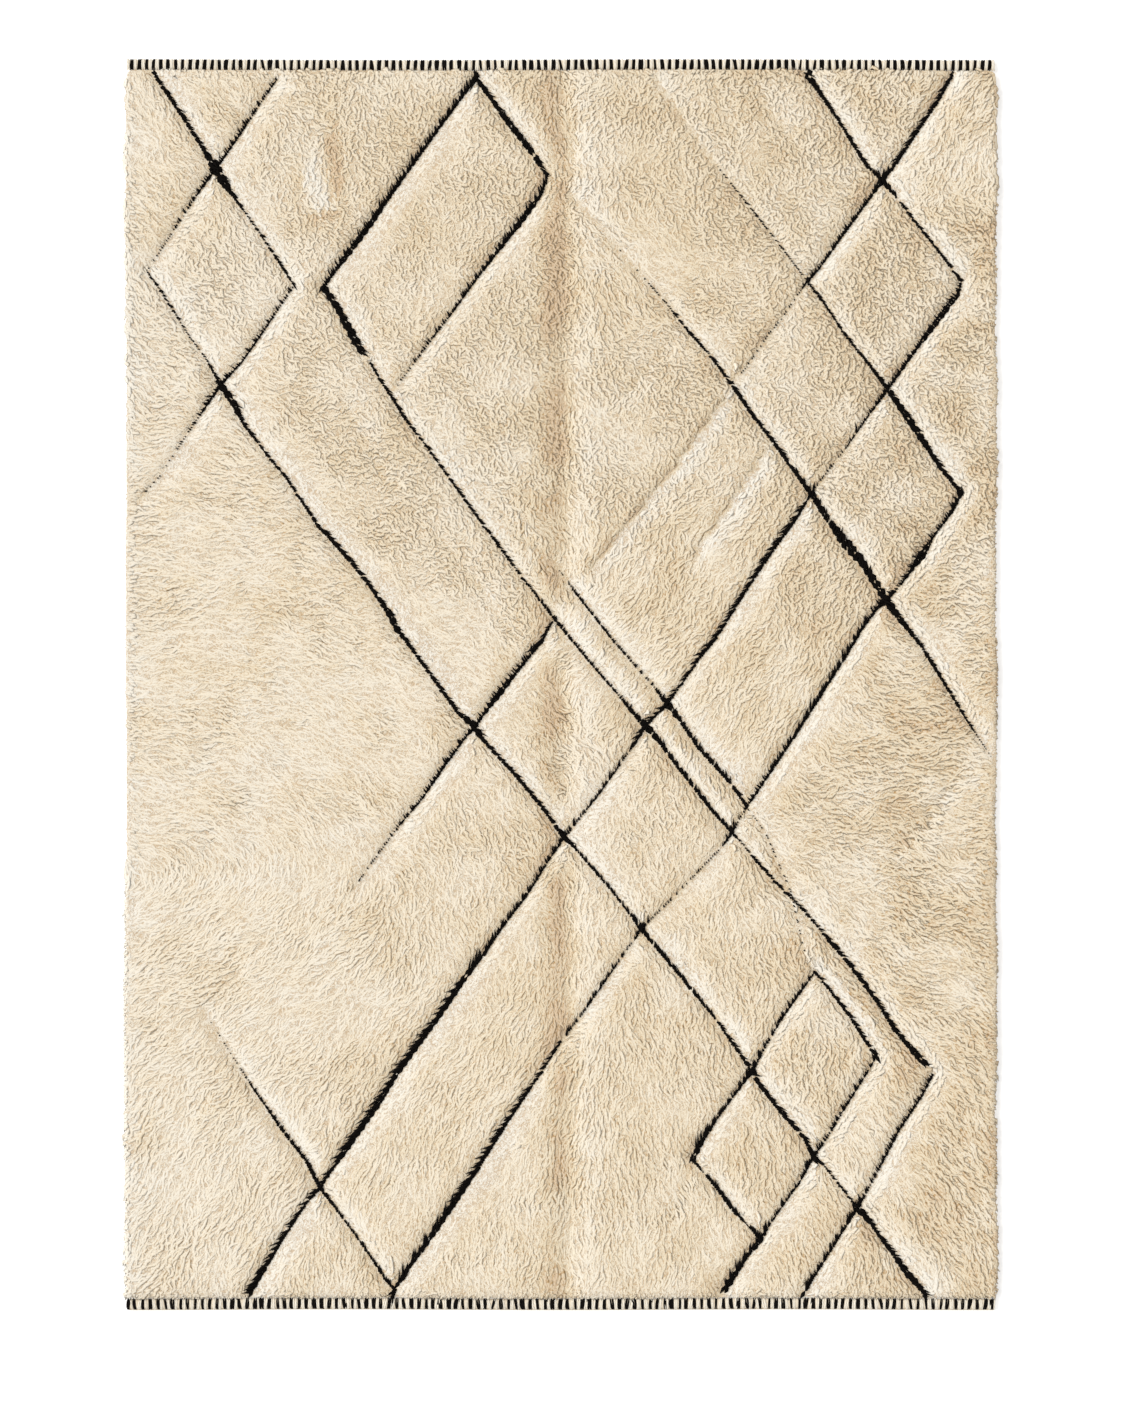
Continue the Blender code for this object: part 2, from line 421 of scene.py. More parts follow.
def furrowDepth(x, y):
    off, wayX, _, width = nearestLine(x, y)
    depth = furrow["leastDepth"] + (furrow["depth"] - furrow["leastDepth"]) * fullness(width)
    softness = furrow["softness"] + (furrow["softnessRight"] - furrow["softness"]) * rightOf(wayX)
    depth = depth * np.exp(-np.maximum(off, 0) / softness)
    off = (x - foldMiddle(y)) / furrow["foldSoftness"]
    depth = np.maximum(depth, furrow["foldDepth"] * np.exp(-off * off))
    for deep, soft, start, end in creases:
        _, toX, toY = nearSegment(x, y, start, end)
        off = np.hypot(toX, toY) / (soft * mm)
        depth = np.maximum(depth, deep * mm * np.exp(-off * off))
    return depth


ground = {
    "tuftRise": 3.6 * mm,  # the pile's tips stand this far over the body's surface
    "least": 3 * mm,  # the lowest that the surface goes
    "unevenness": [(0.7 * mm, 34 * mm, 11), (0.6 * mm, 90 * mm, 12)],  # height, size, seed
    "slopeStep": 2 * mm,  # over which a slope is measured
}


def edgeShift(x, y):
    # how far the nearest long side and the nearest end wander outwards
    side = np.where(x > 0, wander("right", y / rug["length"]), wander("left", y / rug["length"]))
    end = np.where(y > 0, wander("top", x / rug["width"]), wander("bottom", x / rug["width"]))
    return side, end


def insetsOf(x, y):
    # how far in from the long sides and from the bindings
    side, end = edgeShift(x, y)
    return halfWidth + side - np.abs(x), halfCloth + end - np.abs(y)


def groundHeight(x, y):
    height = rug["pileTop"] - ground["tuftRise"]
    off = (x - foldMiddle(y)) / rug["foldHalfWidth"]
    height = height - rug["foldDepth"] * np.exp(-rug["foldSharpness"] * off * off)
    for wavesX, wavesY, phase, size in swells:
        turn = wavesX * x / rug["width"] + wavesY * y / rug["length"]
        height = height + size * np.sin(math.tau * turn + phase)
    for swelling in ground["unevenness"]:
        height = height + cloud(x, y, *swelling)
    height = height - furrowDepth(x, y)
    acrossIn, alongIn = insetsOf(x, y)
    share = edgeFall(acrossIn, rug["sideRound"], rug["edgeShare"])
    share = np.minimum(share, edgeFall(alongIn, rug["endRound"], rug["endShare"]))
    return np.maximum(height, ground["least"]) * share


def groundNormal(x, y, height):
    step = ground["slopeStep"]
    slopeX = (groundHeight(x + step, y) - height) / step
    slopeY = (groundHeight(x, y + step) - height) / step
    normal = np.stack([-slopeX, -slopeY, np.ones_like(x)], 1)
    return normal / np.linalg.norm(normal, axis=1)[:, None]


def meshPiece(name, points, faces, material=None):
    mesh = bpy.data.meshes.new(name)
    mesh.from_pydata([tuple(p) for p in points], [], faces)
    mesh.update()
    mesh.shade_smooth()
    if material:
        mesh.materials.append(material)
    piece = bpy.data.objects.new(name, mesh)
    bpy.context.scene.collection.objects.link(piece)
    return piece


body = {
    "step": 12 * mm,
    "edgeSteps": 3,
    "inset": 4 * mm,  # the pile's tips reach the rug's outline, and its body stays this far inside
    "endReach": 2.6 * mm,  # the body runs this far on, up to the bindings' turns
}


def stations(half, reach):
    turned = [reach * (1 - math.cos(math.pi / 2 * i / body["edgeSteps"])) for i in range(body["edgeSteps"])]
    flat = half - reach
    even = np.linspace(-flat, flat, round(2 * flat / body["step"]) + 1)
    return np.concatenate([[-half + t for t in turned], even, [half - t for t in turned[::-1]]])


def makeBody(material):
    columns = stations(halfWidth - body["inset"], rug["sideRound"])
    rows = stations(halfCloth, rug["endRound"])
    x, y = np.meshgrid(columns, rows)
    # round corners and wandering edges
    overX = np.abs(x) - (halfWidth - body["inset"] - rug["cornerRadius"])
    overY = np.abs(y) - (halfCloth - rug["cornerRadius"])
    corner = (overX > 0) & (overY > 0)
    pull = 1 - np.maximum(overX, overY) / np.maximum(np.hypot(overX, overY), 1e-6)
    pull = np.where(corner, pull, 0)
    x = x - np.sign(x) * overX * pull
    y = y - np.sign(y) * overY * pull
    side, end = edgeShift(x, y)
    x = x * (1 + side / halfWidth)
    y = y * (1 + (end + body["endReach"]) / halfCloth)
    z = groundHeight(x.ravel(), y.ravel())
    top = np.stack([x.ravel(), y.ravel(), z], 1)
    wide, high = len(columns), len(rows)
    index = np.arange(wide * high).reshape(high, wide)
    faces = [
        (index[j, i], index[j, i + 1], index[j + 1, i + 1], index[j + 1, i])
        for j in range(high - 1)
        for i in range(wide - 1)
    ]
    outline = [*index[0], *index[1:-1, -1], *index[-1, ::-1], *index[-2:0:-1, 0]]
    inward = 1 - rug["underInset"] / halfWidth
    under = top[outline] * (inward, 1, 0)
    count = len(outline)
    base = wide * high
    for i, corner in enumerate(outline):
        after = (i + 1) % count
        faces.append((base + i, base + after, outline[after], corner))
    faces.append(tuple(base + i for i in range(count))[::-1])
    points = np.concatenate([top, under])
    piece = meshPiece("rug_body", points, faces, material)
    # the body's tone carries the same painted highlight and painted shade as the pile's
    tone = combed(points[:, 0], points[:, 1])[3]
    addValues(piece.data, "tone", "FLOAT", toneOver(points[:, 0], points[:, 1], tone))
    return piece


# how the pile lies: x, y and reach of a zone in metres, heading in degrees, unruliness, tone
combing = [
    (-0.72, 0.98, 0.16, -50, 0.72, 0.50),
    (-0.57, 1.04, 0.10, -62, 0.72, 0.55),
    (-0.45, 0.98, 0.14, -60, 1.0, 0.50),
    (-0.30, 1.05, 0.12, -80, 1.0, 0.50),
    (-0.20, 0.80, 0.18, -70, 1.1, 0.50),
    (0.00, 1.00, 0.07, -88, 0.7, 0.35),
    (0.02, 0.75, 0.07, -95, 0.8, 0.35),
    (0.15, 1.00, 0.14, -95, 0.9, 0.45),
    (0.16, 0.80, 0.12, -35, 0.6, 0.40),
    (0.25, 0.68, 0.10, -30, 0.9, 0.45),
    (0.35, 0.98, 0.16, -70, 1.2, 0.45),
    (0.45, 0.85, 0.14, -50, 1.3, 0.45),
    (0.56, 1.05, 0.10, -85, 1.0, 0.50),
    (0.70, 0.95, 0.14, -120, 0.7, 0.50),
    (0.73, 0.80, 0.12, -10, 1.0, 0.50),
    (0.60, 0.72, 0.12, -70, 1.3, 0.50),
    (0.62, 0.45, 0.12, -70, 1.3, 0.45),
    (0.74, 0.55, 0.12, -20, 1.0, 0.45),
    (-0.70, 0.62, 0.12, -30, 0.75, 0.70),
    (-0.62, 0.72, 0.10, -60, 0.9, 0.66),
    (-0.60, 0.35, 0.16, -8, 0.5, 0.60),
    (-0.74, 0.30, 0.10, 0, 0.5, 0.50),
    (-0.68, 0.12, 0.16, 2, 0.5, 0.55),
    (-0.45, 0.10, 0.14, -12, 0.6, 0.55),
    (-0.35, 0.30, 0.12, -15, 0.8, 0.45),
    (-0.40, 0.45, 0.12, -10, 1.0, 0.50),
    (-0.25, 0.35, 0.12, -50, 1.2, 0.50),
    (-0.10, 0.45, 0.12, -60, 1.0, 0.55),
    (-0.05, 0.33, 0.08, -62, 0.7, 0.50),
    (0.02, 0.50, 0.06, -90, 0.6, 0.35),
    (0.03, 0.25, 0.06, -90, 0.6, 0.40),
    (0.15, 0.45, 0.12, -70, 1.1, 0.50),
    (0.27, 0.20, 0.14, -128, 0.7, 0.50),
    (0.40, 0.05, 0.14, -120, 0.7, 0.50),
    (0.45, 0.55, 0.14, -70, 1.2, 0.50),
    (0.47, 0.18, 0.10, -110, 1.0, 0.50),
    (0.70, 0.06, 0.13, 8, 0.8, 0.56),
    (0.60, -0.03, 0.10, -6, 0.6, 0.50),
    (0.70, -0.20, 0.18, -5, 0.6, 0.54),
    (0.55, -0.30, 0.14, -20, 0.8, 0.50),
    (-0.70, -0.15, 0.16, -10, 0.5, 0.58),
    (-0.45, -0.15, 0.16, -30, 0.6, 0.55),
    (-0.20, -0.30, 0.14, -60, 0.8, 0.50),
    (-0.65, -0.50, 0.16, -155, 0.5, 0.60),
    (-0.45, -0.50, 0.16, -135, 0.6, 0.58),
    (-0.62, -0.75, 0.14, -125, 0.6, 0.60),
    (-0.70, -0.98, 0.14, -115, 0.6, 0.64),
    (-0.35, -0.62, 0.12, -120, 0.6, 0.56),
    (-0.12, -0.80, 0.12, -115, 0.5, 0.50),
    (-0.05, -0.50, 0.12, -95, 0.6, 0.45),
    (0.05, -0.90, 0.08, -92, 0.5, 0.50),
    (0.22, -0.90, 0.12, -86, 0.5, 0.50),
    (0.20, -0.30, 0.10, -90, 0.8, 0.50),
    (0.30, -0.50, 0.14, -80, 0.7, 0.50),
    (0.60, -0.85, 0.12, -58, 0.5, 0.50),
    (0.75, -0.95, 0.14, -55, 0.5, 0.50),
    (0.74, -0.50, 0.14, -25, 0.6, 0.50),
    (0.45, -0.70, 0.10, -75, 0.8, 0.55),
    (-0.20, -1.05, 0.16, -95, 0.5, 0.50),
    (0.55, -1.07, 0.14, -80, 0.5, 0.50),
]


# patches of paler or darker tone: x, y and half sizes in metres, change of tone. The dark strips near x 0
# and the pale ones near x 0.07 are painted shade and painted highlight on the fold's two slopes, and the
# patches near x -0.41 to -0.48, y 0.86 to 1.0 are painted highlight and painted shade on a ridge
patches = [
    (-0.022, -0.03, 0.028, 0.085, -0.26), (-0.014, 0.83, 0.026, 0.065, -0.22),
    (-0.002, 0.65, 0.02, 0.11, -0.14), (0.0, 0.34, 0.024, 0.11, -0.2),
    (0.008, -0.49, 0.024, 0.11, -0.16), (0.016, -0.76, 0.024, 0.15, -0.14),
    (0.19, 0.965, 0.055, 0.045, -0.12), (0.375, 0.965, 0.045, 0.045, -0.1),
    (-0.36, 0.17, 0.065, 0.055, -0.1), (0.455, 0.135, 0.11, 0.09, -0.12),
    (0.66, 0.01, 0.07, 0.08, -0.14), (0.625, -0.25, 0.1, 0.07, -0.12), (-0.455, 0.935, 0.014, 0.04, 0.5),
    (-0.438, 0.892, 0.01, 0.026, 0.6), (-0.42, 1.0, 0.012, 0.045, -0.62),
    (-0.41, 0.93, 0.012, 0.045, -0.75), (-0.436, 0.86, 0.024, 0.009, -0.9),
    (-0.484, 0.925, 0.013, 0.03, -0.42), (-0.542, 1.02, 0.02, 0.02, -0.16),
    (0.075, 0.9, 0.03, 0.12, 0.16), (0.07, 0.52, 0.028, 0.14, 0.1), (0.068, -0.15, 0.03, 0.12, 0.16),
    (-0.3, 1.01, 0.05, 0.05, -0.1), (0.69, 0.92, 0.06, 0.08, -0.12), (0.62, -0.56, 0.05, 0.05, -0.12),
    (-0.56, -0.64, 0.12, 0.06, 0.04), (-0.25, 0.85, 0.1, 0.1, -0.16), (-0.33, -0.64, 0.06, 0.05, -0.08),
    (0.7, -0.48, 0.04, 0.08, -0.16), (0.64, -0.7, 0.05, 0.05, -0.08), (-0.66, 0.03, 0.07, 0.05, -0.1),
    (0.676, -0.967, 0.035, 0.055, -0.28), (0.72, -0.8, 0.05, 0.05, -0.08),
    (-0.56, 0.15, 0.06, 0.03, -0.14),
]


def combed(x, y):
    # the way that the pile lies, how unruly it is and its tone
    lieX, lieY, curl, tone, total = (np.zeros(x.shape) for _ in range(5))
    for placeX, placeY, reach, heading, unruly, shade in combing:
        off = ((x - placeX) ** 2 + (y - placeY) ** 2) / (reach * reach)
        weight = np.exp(-off) + 1e-6 / (1 + off)
        lieX += weight * math.cos(math.radians(heading))
        lieY += weight * math.sin(math.radians(heading))
        curl += weight * unruly
        tone += weight * shade
        total += weight
    size = np.maximum(np.hypot(lieX, lieY), 1e-9)
    tone = tone / total
    for placeX, placeY, halfX, halfY, change in patches:
        tone = tone + change * np.exp(-((x - placeX) / halfX) ** 2 - ((y - placeY) / halfY) ** 2)
    return lieX / size, lieY / size, curl / total, tone


# what changes the pile's tone, which runs from 0, tan, to 1, ivory; much of it is painted highlight and
# painted shade
tint = {
    "bank": 0.46,  # painted highlight: how much paler the bank at a full line's right, which faces the light, is
    "paintedShade": 0.30,  # painted shade: how much darker the pile at its left, which faces away from the light, is
    "paintedShadeLeast": 0.4,  # the share of that at a furrow without depth
    "paintedShadeReach": 9 * mm,
    "leastFull": 0.5,  # a thin line still has this share of a full one's bank
    "creaseDepth": 8,  # a furrow with no black in it has a full line's bank if it is this deep, in mm
    "foldPatches": (0.6, 42 * mm, 26),  # share, size and seed of the patches in the fold's painted shade, along the fold
    "foldPaintedShade": (-0.31, -22, 28),  # painted shade on the fold's left slope: change, and its middle and reach across the fold in mm
    # painted highlight on the fold's right slope, in the same form
    "foldPaintedHighlight": (0.2, 38, 30),
    "clouds": [(-0.13, 70 * mm, 25), (0.12, 26 * mm, 22)],  # change, size, seed
    "coarseClouds": 0.6,  # how much stronger they are where the pile is coarse
    "leftEdgeHighlight": 0.5,  # painted highlight: how much paler the pile along the left side, which faces the light, is
    "leftReach": 16 * mm,
    "rightward": 0.06,  # how much darker the pile is at the right side than at the middle
    "spread": 0.05,  # unevenness from lock to lock
    "rightTipShade": 0.2,  # painted shade: how much darker the tips over the right side, where the pile falls away from the light, are
    "tipReach": 7 * mm,
}


def besideLine(off, wayX, full):
    # painted highlight on the bank at a line's right, which faces the light, and painted shade at its left,
    # which faces away
    right = rightOf(wayX)
    pale = tint["bank"] * full * right * np.exp(-((off / tuft["bank"]) ** 3))
    paintedShade = tint["paintedShade"] * (tint["paintedShadeLeast"] + (1 - tint["paintedShadeLeast"]) * full)
    return pale - paintedShade * np.exp(-off / tint["paintedShadeReach"]) * (1 - right)


def toneOver(x, y, tone):
    off, wayX, _, width = nearestLine(x, y)
    tone = tone + besideLine(np.maximum(off, 0), wayX, fullness(width, tint["leastFull"]))
    # the same painted highlight and painted shade beside the furrows with no black in them
    for deep, _, start, end in creases:
        _, toX, toY = nearSegment(x, y, start, end)
        off = np.hypot(toX, toY)
        change = besideLine(off, toX / np.maximum(off, 1e-6), deep / tint["creaseDepth"])
        tone = tone + change * (off < 3 * tuft["bank"])
    # painted shade and painted highlight on the two slopes of the lengthwise fold
    fold = (x - foldMiddle(y)) / mm
    patchy = 1 + cloud(x, y, *tint["foldPatches"])
    change, *across = tint["foldPaintedShade"]
    tone = tone + change * patchy * hump(fold, *across)
    change, *across = tint["foldPaintedHighlight"]
    tone = tone + change * hump(fold, *across)
    uneven = 1 + tint["coarseClouds"] * coarseness(x)
    for change, size, seed in tint["clouds"]:
        tone = tone + change * uneven * softNoise(x, y, size, seed)
    # painted highlight along the left side, which faces the light
    tone = tone + tint["leftEdgeHighlight"] * np.exp(-(x + halfWidth) / tint["leftReach"])
    return np.clip(tone - tint["rightward"] * x / halfWidth, 0, 1)


def coarseness(x):
    # the pile is coarser towards the right side
    return np.clip((x - tuft["coarseFrom"]) / tuft["coarseRun"], 0, 1)


# the cream locks. A section of a lock is its place along it, sideways shift, height, its sides' height
# and its width, as shares of the lock's own length, width and rise
tuft = {
    "spacing": 10.8 * mm,
    "curlSpacing": 9.2 * mm,
    "fillSpacing": 8.6 * mm,
    "jitter": 0.36,
    "strayTurn": 0.10,  # in radians
    "uneven": 0.12,  # of each copy's size
    "curlFrom": 0.82,  # unruliness from which the pile is of short curls
    "curlNoise": (0.05, 30 * mm, 27),  # how uneven that is: change, size, seed
    "coarseFrom": 0.32,  # in metres to the right of the rug's middle
    "coarseRun": 0.3,
    "sunk": 0.8 * mm,  # the root starts this far under the body's surface
    "rootLeft": 1.5 * mm,  # and at least this far in from the left side
    "rootRight": 0.5 * mm,  # or from the body's right side
    "rootCorner": 3 * mm,  # or from a rounded corner
    "rootTop": 5 * mm,  # but it may be this far over the top binding, or over the other
    "rootFoot": 1.5 * mm,
    "overlap": 1.0 * mm,  # cream wool lies this far over a black line's edge
    "overlapSpread": (-0.5, 2.5),  # least and most, as shares of that
    "overhang": 3 * mm,  # and it hangs this far over a binding
    "thinLine": 4 * mm,  # cream wool grows in the gaps of a line narrower than this
    "creaseWidth": 1 * mm,  # a line narrower than this is a furrow with no black in it
    "creaseClear": 1.6 * mm,  # no lock grows this near to the middle of one
    "creaseGap": 2.4 * mm,  # and the locks stop this far short of it
    "least": 4.5 * mm,  # the shortest lock
    "narrowest": 2.6 * mm,
    "stoutest": 0.66,  # the most that a lock is wide, as a share of its length
    "shortFrom": 0.5,  # locks get shorter from this unruliness on
    "shortRate": 1.4,  # this much of the way for each 1 more of it
    "lengths": (0.75, 1.2),  # least and most, as shares of a lock's usual length
    "widths": (0.8, 1.15),
    "bank": 29 * mm,  # width of the smooth bank at the right of a full line
    "bankWider": 0.25,  # how much wider the locks are on it
    "calmReach": 24 * mm,  # within this of a full line the pile is less unruly
    "calmed": 0.4,  # by this share at the line's left, and by twice that at its right
    "turns": [(0.8, 34 * mm, 23), (0.55, 14 * mm, 24)],  # swirls of unruly pile: radians, size, seed
    "wildTurn": 0.42,  # how far its locks turn one by one
    "edgeLean": 11 * mm,  # within this of a long side the pile falls outwards
    "leanLeft": 0.5,  # how strongly
    "leanRight": 1.3,
    "pastLeft": 2.4 * mm,  # how far the tips pass the outline
    "pastLowLeft": 0.8 * mm,
    "lowFrom": -0.1,
    "pastRight": -1.2 * mm,
    "ragged": 1.5,  # and this much more or less, in mm
    "fillBank": 18 * mm,  # low locks fill the pile within this of a line's right
    "fillWidth": 3 * mm,  # if the line is wider than this
    "fillEnd": 10 * mm,  # and within this of a binding
    "fillSide": 12 * mm,  # and of a long side
    "sways": (0.0, 0.34, -0.34, 0.2, -0.2, 0.45, -0.45),  # of each kind of long lock
    "wavy": [(0.17, 0.5, 0.84, 0.32, 0.82), (0.46, 1.0, 1.0, 0.34, 1.0), (0.76, -0.8, 0.86, 0.30, 0.76)],
    "wavyTip": 0.16,
    "curls": [
        (0.30, 0.50, 0.25), (-0.30, -0.50, -0.25), (0.25, 0.10, -0.45), (-0.25, -0.10, 0.45),
        (0.15, 0.45, 0.60), (-0.15, -0.45, -0.60), (0.30, -0.20, 0.30),
    ],  # sideways shifts of each kind of curl
    "curled": [(0.18, 0.88, 0.48, 0.88), (0.47, 1.0, 0.52, 1.0), (0.78, 0.88, 0.45, 0.80)],
    "low": [
        [(0.25, 0.08, 0.95, 0.4, 0.95), (0.68, -0.12, 1.0, 0.4, 0.9)],
        [(0.25, -0.10, 0.95, 0.4, 0.95), (0.68, 0.12, 1.0, 0.4, 0.9)],
    ],
    "bands": {"long": 3, "curl": 3},  # pieces, from the lower end to the upper
    "seed": 3,
}
# long locks and curls make the pile, and low ones fill it at the lines' right and along the rug's edges.
# along is how far from a line they still lie along it, and calm how much lower they are on a bank
lockNames = ("reach", "shortReach", "width", "rise", "along", "calm")
locks = {
    "long": (38 * mm, 22 * mm, 8.6 * mm, 1.85 * mm, 9 * mm, 0.8),
    "curl": (23 * mm, 16 * mm, 8.2 * mm, 1.75 * mm, 9 * mm, 0.8),
    "fill": (19 * mm, 14 * mm, 8.5 * mm, 2.3 * mm, 60 * mm, 0.65),
}
# how high the locks stand, as shares of their rise
standing = {
    "shortest": (0.4, 0.5, 0.95),  # of a lock without length, the least of all, and the least at an edge
    "edge": 12 * mm,
    "calm": 0.66,  # of calm pile, and how much more of unruly pile
    "unruly": 0.4,
    "clouds": (0.42, 70 * mm, 25),  # change, size, seed
    "plain": 0.96,
    "coarse": 0.5,  # how much more at the coarse right side
    "fold": (0.5, -17, 24),  # and at the fold: change, middle and reach in mm
    "bridge": 1.3,  # how much of a swelling under its middle a lock stands over
    "bridgeMost": 1.6 * mm,
}


def lockShape(name, sections, tip=0.2):
    # one closed lock of unit size along +X
    points = [(0.0, 0.0, 0.0)]
    along, side = [0.0], [0.5]
    faces = [(0, 2, 1), (0, 3, 2), (0, 1, 3)]
    for i, (place, shift, high, low, wide) in enumerate(sections):
        points += [(place, shift + wide / 2, low), (place, shift, high), (place, shift - wide / 2, low)]
        along += [place] * 3
        side += [0.0, 0.5, 1.0]
        for a, b in ((1, 2), (2, 3), (3, 1)) if i else ():
            faces += [(a + 3 * i - 3, b + 3 * i - 3, b + 3 * i), (a + 3 * i - 3, b + 3 * i, a + 3 * i)]
    points.append((1.0, sections[-1][1] * -0.6, tip))
    last = len(points) - 1
    faces += [(last, last - 3, last - 2), (last, last - 2, last - 1), (last, last - 1, last - 3)]
    shape = meshPiece(name, points, faces)
    addValues(shape.data, "along", "FLOAT", np.array(along + [1.0]))
    addValues(shape.data, "side", "FLOAT", np.array(side + [0.5]))
    return shape


def wavyLock(name, sway):
    sections = [(place, sway * share, *form) for place, share, *form in tuft["wavy"]]
    return lockShape(name, sections, tuft["wavyTip"])


def curledLock(name, shifts):
    sections = [(place, shift, *form) for shift, (place, *form) in zip(shifts, tuft["curled"])]
    return lockShape(name, sections)


def kindsOf(name, shapes):
    # a collection that the tree takes its shapes from
    kinds = bpy.data.collections.new(name)
    bpy.context.scene.collection.children.link(kinds)
    for shape in shapes:
        bpy.context.scene.collection.objects.unlink(shape)
        kinds.objects.link(shape)
    return kinds


def addValues(mesh, name, kind, values):
    attribute = mesh.attributes.new(name, kind, "POINT")
    key = "vector" if kind == "FLOAT_VECTOR" else "value"
    values = np.asarray(values, np.int32 if kind == "INT" else np.float32)
    attribute.data.foreach_set(key, values.ravel())


def placesMesh(name, places, values):
    mesh = bpy.data.meshes.new(name)
    mesh.vertices.add(len(places))
    mesh.vertices.foreach_set("co", places.astype(np.float32).ravel())
    for key, found in values.items():
        kind = "FLOAT_VECTOR" if found.ndim == 2 else "FLOAT"
        addValues(mesh, key, "INT" if key == "kind" else kind, found)
    holder = bpy.data.objects.new(name, mesh)
    bpy.context.scene.collection.objects.link(holder)
    return holder


def tuftTree():
    # sets a copy of one of the shapes on each place, along its lie and a little uneven
    tree = bpy.data.node_groups.new("tufts on places", "GeometryNodeTree")
    sockets = [
        ("places", "Geometry"), ("shapes", "Collection"), ("stray turn", "Float"), ("uneven", "Float"),
        ("seed", "Int"), ("wool", "Material"),
    ]
    for name, kind in sockets:
        tree.interface.new_socket(name, in_out="INPUT", socket_type="NodeSocket" + kind)
    tree.interface.new_socket("pile", in_out="OUTPUT", socket_type="NodeSocketGeometry")
    start = tree.nodes.new("NodeGroupInput")
    given = {name: Wire(tree, start.outputs[name]) for name, _ in sockets}
    wire = given["places"]

    def attribute(name, kind):
        return wire.node("GeometryNodeInputNamedAttribute", {"data_type": kind}, {"Name": name})

    up = attribute("up", "FLOAT_VECTOR")
    chance = {2: -1.0, 3: 1.0, "Seed": given["seed"]}
    stray = wire.node("FunctionNodeRandomValue", {"data_type": "FLOAT"}, chance, 1)
    inputs = {"Vector": attribute("lie", "FLOAT_VECTOR"), "Axis": up, "Angle": stray * given["stray turn"]}
    lie = wire.node("ShaderNodeVectorRotate", None, inputs)
    axes = {"primary_axis": "X", "secondary_axis": "Z"}
    turned = wire.node("FunctionNodeAxesToRotation", axes, {"Primary Axis": lie, "Secondary Axis": up})
    corner = {0: (-1.0, -1.0, -1.0), 1: (1.0, 1.0, 1.0), "Seed": given["seed"] + 7}
    change = wire.node("FunctionNodeRandomValue", {"data_type": "FLOAT_VECTOR"}, corner, 0)
    inputs = {0: change, "Scale": given["uneven"]}
    change = wire.node("ShaderNodeVectorMath", {"operation": "SCALE"}, inputs)
    change = wire.vector("ADD", change, (1.0, 1.0, 1.0))
    size = wire.vector("MULTIPLY", attribute("size", "FLOAT_VECTOR"), change)
    inputs = {"Collection": given["shapes"], "Separate Children": True, "Reset Children": True}
    shapes = wire.node("GeometryNodeCollectionInfo", {"transform_space": "ORIGINAL"}, inputs)
    inputs = {
        "Points": given["places"], "Instance": shapes, "Pick Instance": True, "Rotation": turned,
        "Scale": size, "Instance Index": attribute("kind", "INT"),
    }
    copies = wire.node("GeometryNodeInstanceOnPoints", None, inputs)
    real = wire.node("GeometryNodeRealizeInstances", None, {"Geometry": copies})
    smooth = wire.node("GeometryNodeSetShadeSmooth", None, {"Geometry": real})
    clad = wire.node("GeometryNodeSetMaterial", None, {"Geometry": smooth, "Material": given["wool"]})
    end = tree.nodes.new("NodeGroupOutput")
    tree.links.new(clad.socket, end.inputs["pile"])
    return tree


def spread(tree, name, places, values, shapes, material, settings):
    # runs the tree on these places and returns the result as a plain mesh piece
    holder = placesMesh(name + " places", places, {"kind": np.arange(len(places)), **values})
    modifier = holder.modifiers.new("tufts", "NODES")
    modifier.node_group = tree
    ids = {item.name: item.identifier for item in tree.interface.items_tree if item.in_out == "INPUT"}
    for key, value in {"shapes": shapes, "wool": material, **settings}.items():
        modifier[ids[key]] = value
    evaluated = holder.evaluated_get(bpy.context.evaluated_depsgraph_get())
    mesh = bpy.data.meshes.new_from_object(evaluated)
    holder.modifiers.clear()
    old = holder.data
    bpy.data.objects.remove(holder)
    bpy.data.meshes.remove(old)
    for spent in ("kind", "lie", "size"):
        if spent in mesh.attributes:
            mesh.attributes.remove(mesh.attributes[spent])
    mesh.name = name
    piece = bpy.data.objects.new(name, mesh)
    bpy.context.scene.collection.objects.link(piece)
    return piece


def mapByTone(piece):
    # the piece's own map: across is a tuft's tone, up is the place along the tuft
    mesh = piece.data
    found = {}
    for name in ("tone", "along", "side"):
        found[name] = np.empty(len(mesh.vertices), np.float32)
        mesh.attributes[name].data.foreach_get("value", found[name])
    across = np.clip(found["tone"], 0, 1) * 0.94 + found["side"] * 0.06
    corner = np.empty(len(mesh.loops), np.int32)
    mesh.loops.foreach_get("vertex_index", corner)
    layer = mesh.uv_layers.new(name="OFBake", do_init=False)
    layer.uv.foreach_set("vector", np.stack([across[corner], found["along"][corner]], 1).ravel())


def scattered(step, seed):
    # uneven places over the whole rug, in random order
    rng = np.random.default_rng(seed)
    columns = np.arange(-halfWidth - step, halfWidth + step, step)
    rows = np.arange(-halfCloth - step, halfCloth + step, step * math.sqrt(3) / 2)
    x, y = np.meshgrid(columns, rows)
    x = x + (np.arange(len(rows)) % 2)[:, None] * step / 2
    x = x + rng.uniform(-1, 1, x.shape) * step * tuft["jitter"]
    y = y + rng.uniform(-1, 1, y.shape) * step * tuft["jitter"]
    x, y = x.ravel(), y.ravel()
    acrossIn, alongIn = insetsOf(x, y)
    # at the top the locks point away from the binding, and so their roots start over it
    least = np.where(x < 0, tuft["rootLeft"], body["inset"] + tuft["rootRight"])
    over = np.where(y > 0, tuft["rootTop"], tuft["rootFoot"])
    inside = (acrossIn > least) & (alongIn > -over)
    radius = rug["cornerRadius"]
    near = (acrossIn < radius) & (alongIn < radius)
    cut = np.hypot(radius - acrossIn, radius - alongIn) > radius - tuft["rootCorner"]
    inside &= ~(near & cut)
    order = rng.permutation(np.flatnonzero(inside))
    return x[order], y[order], rng


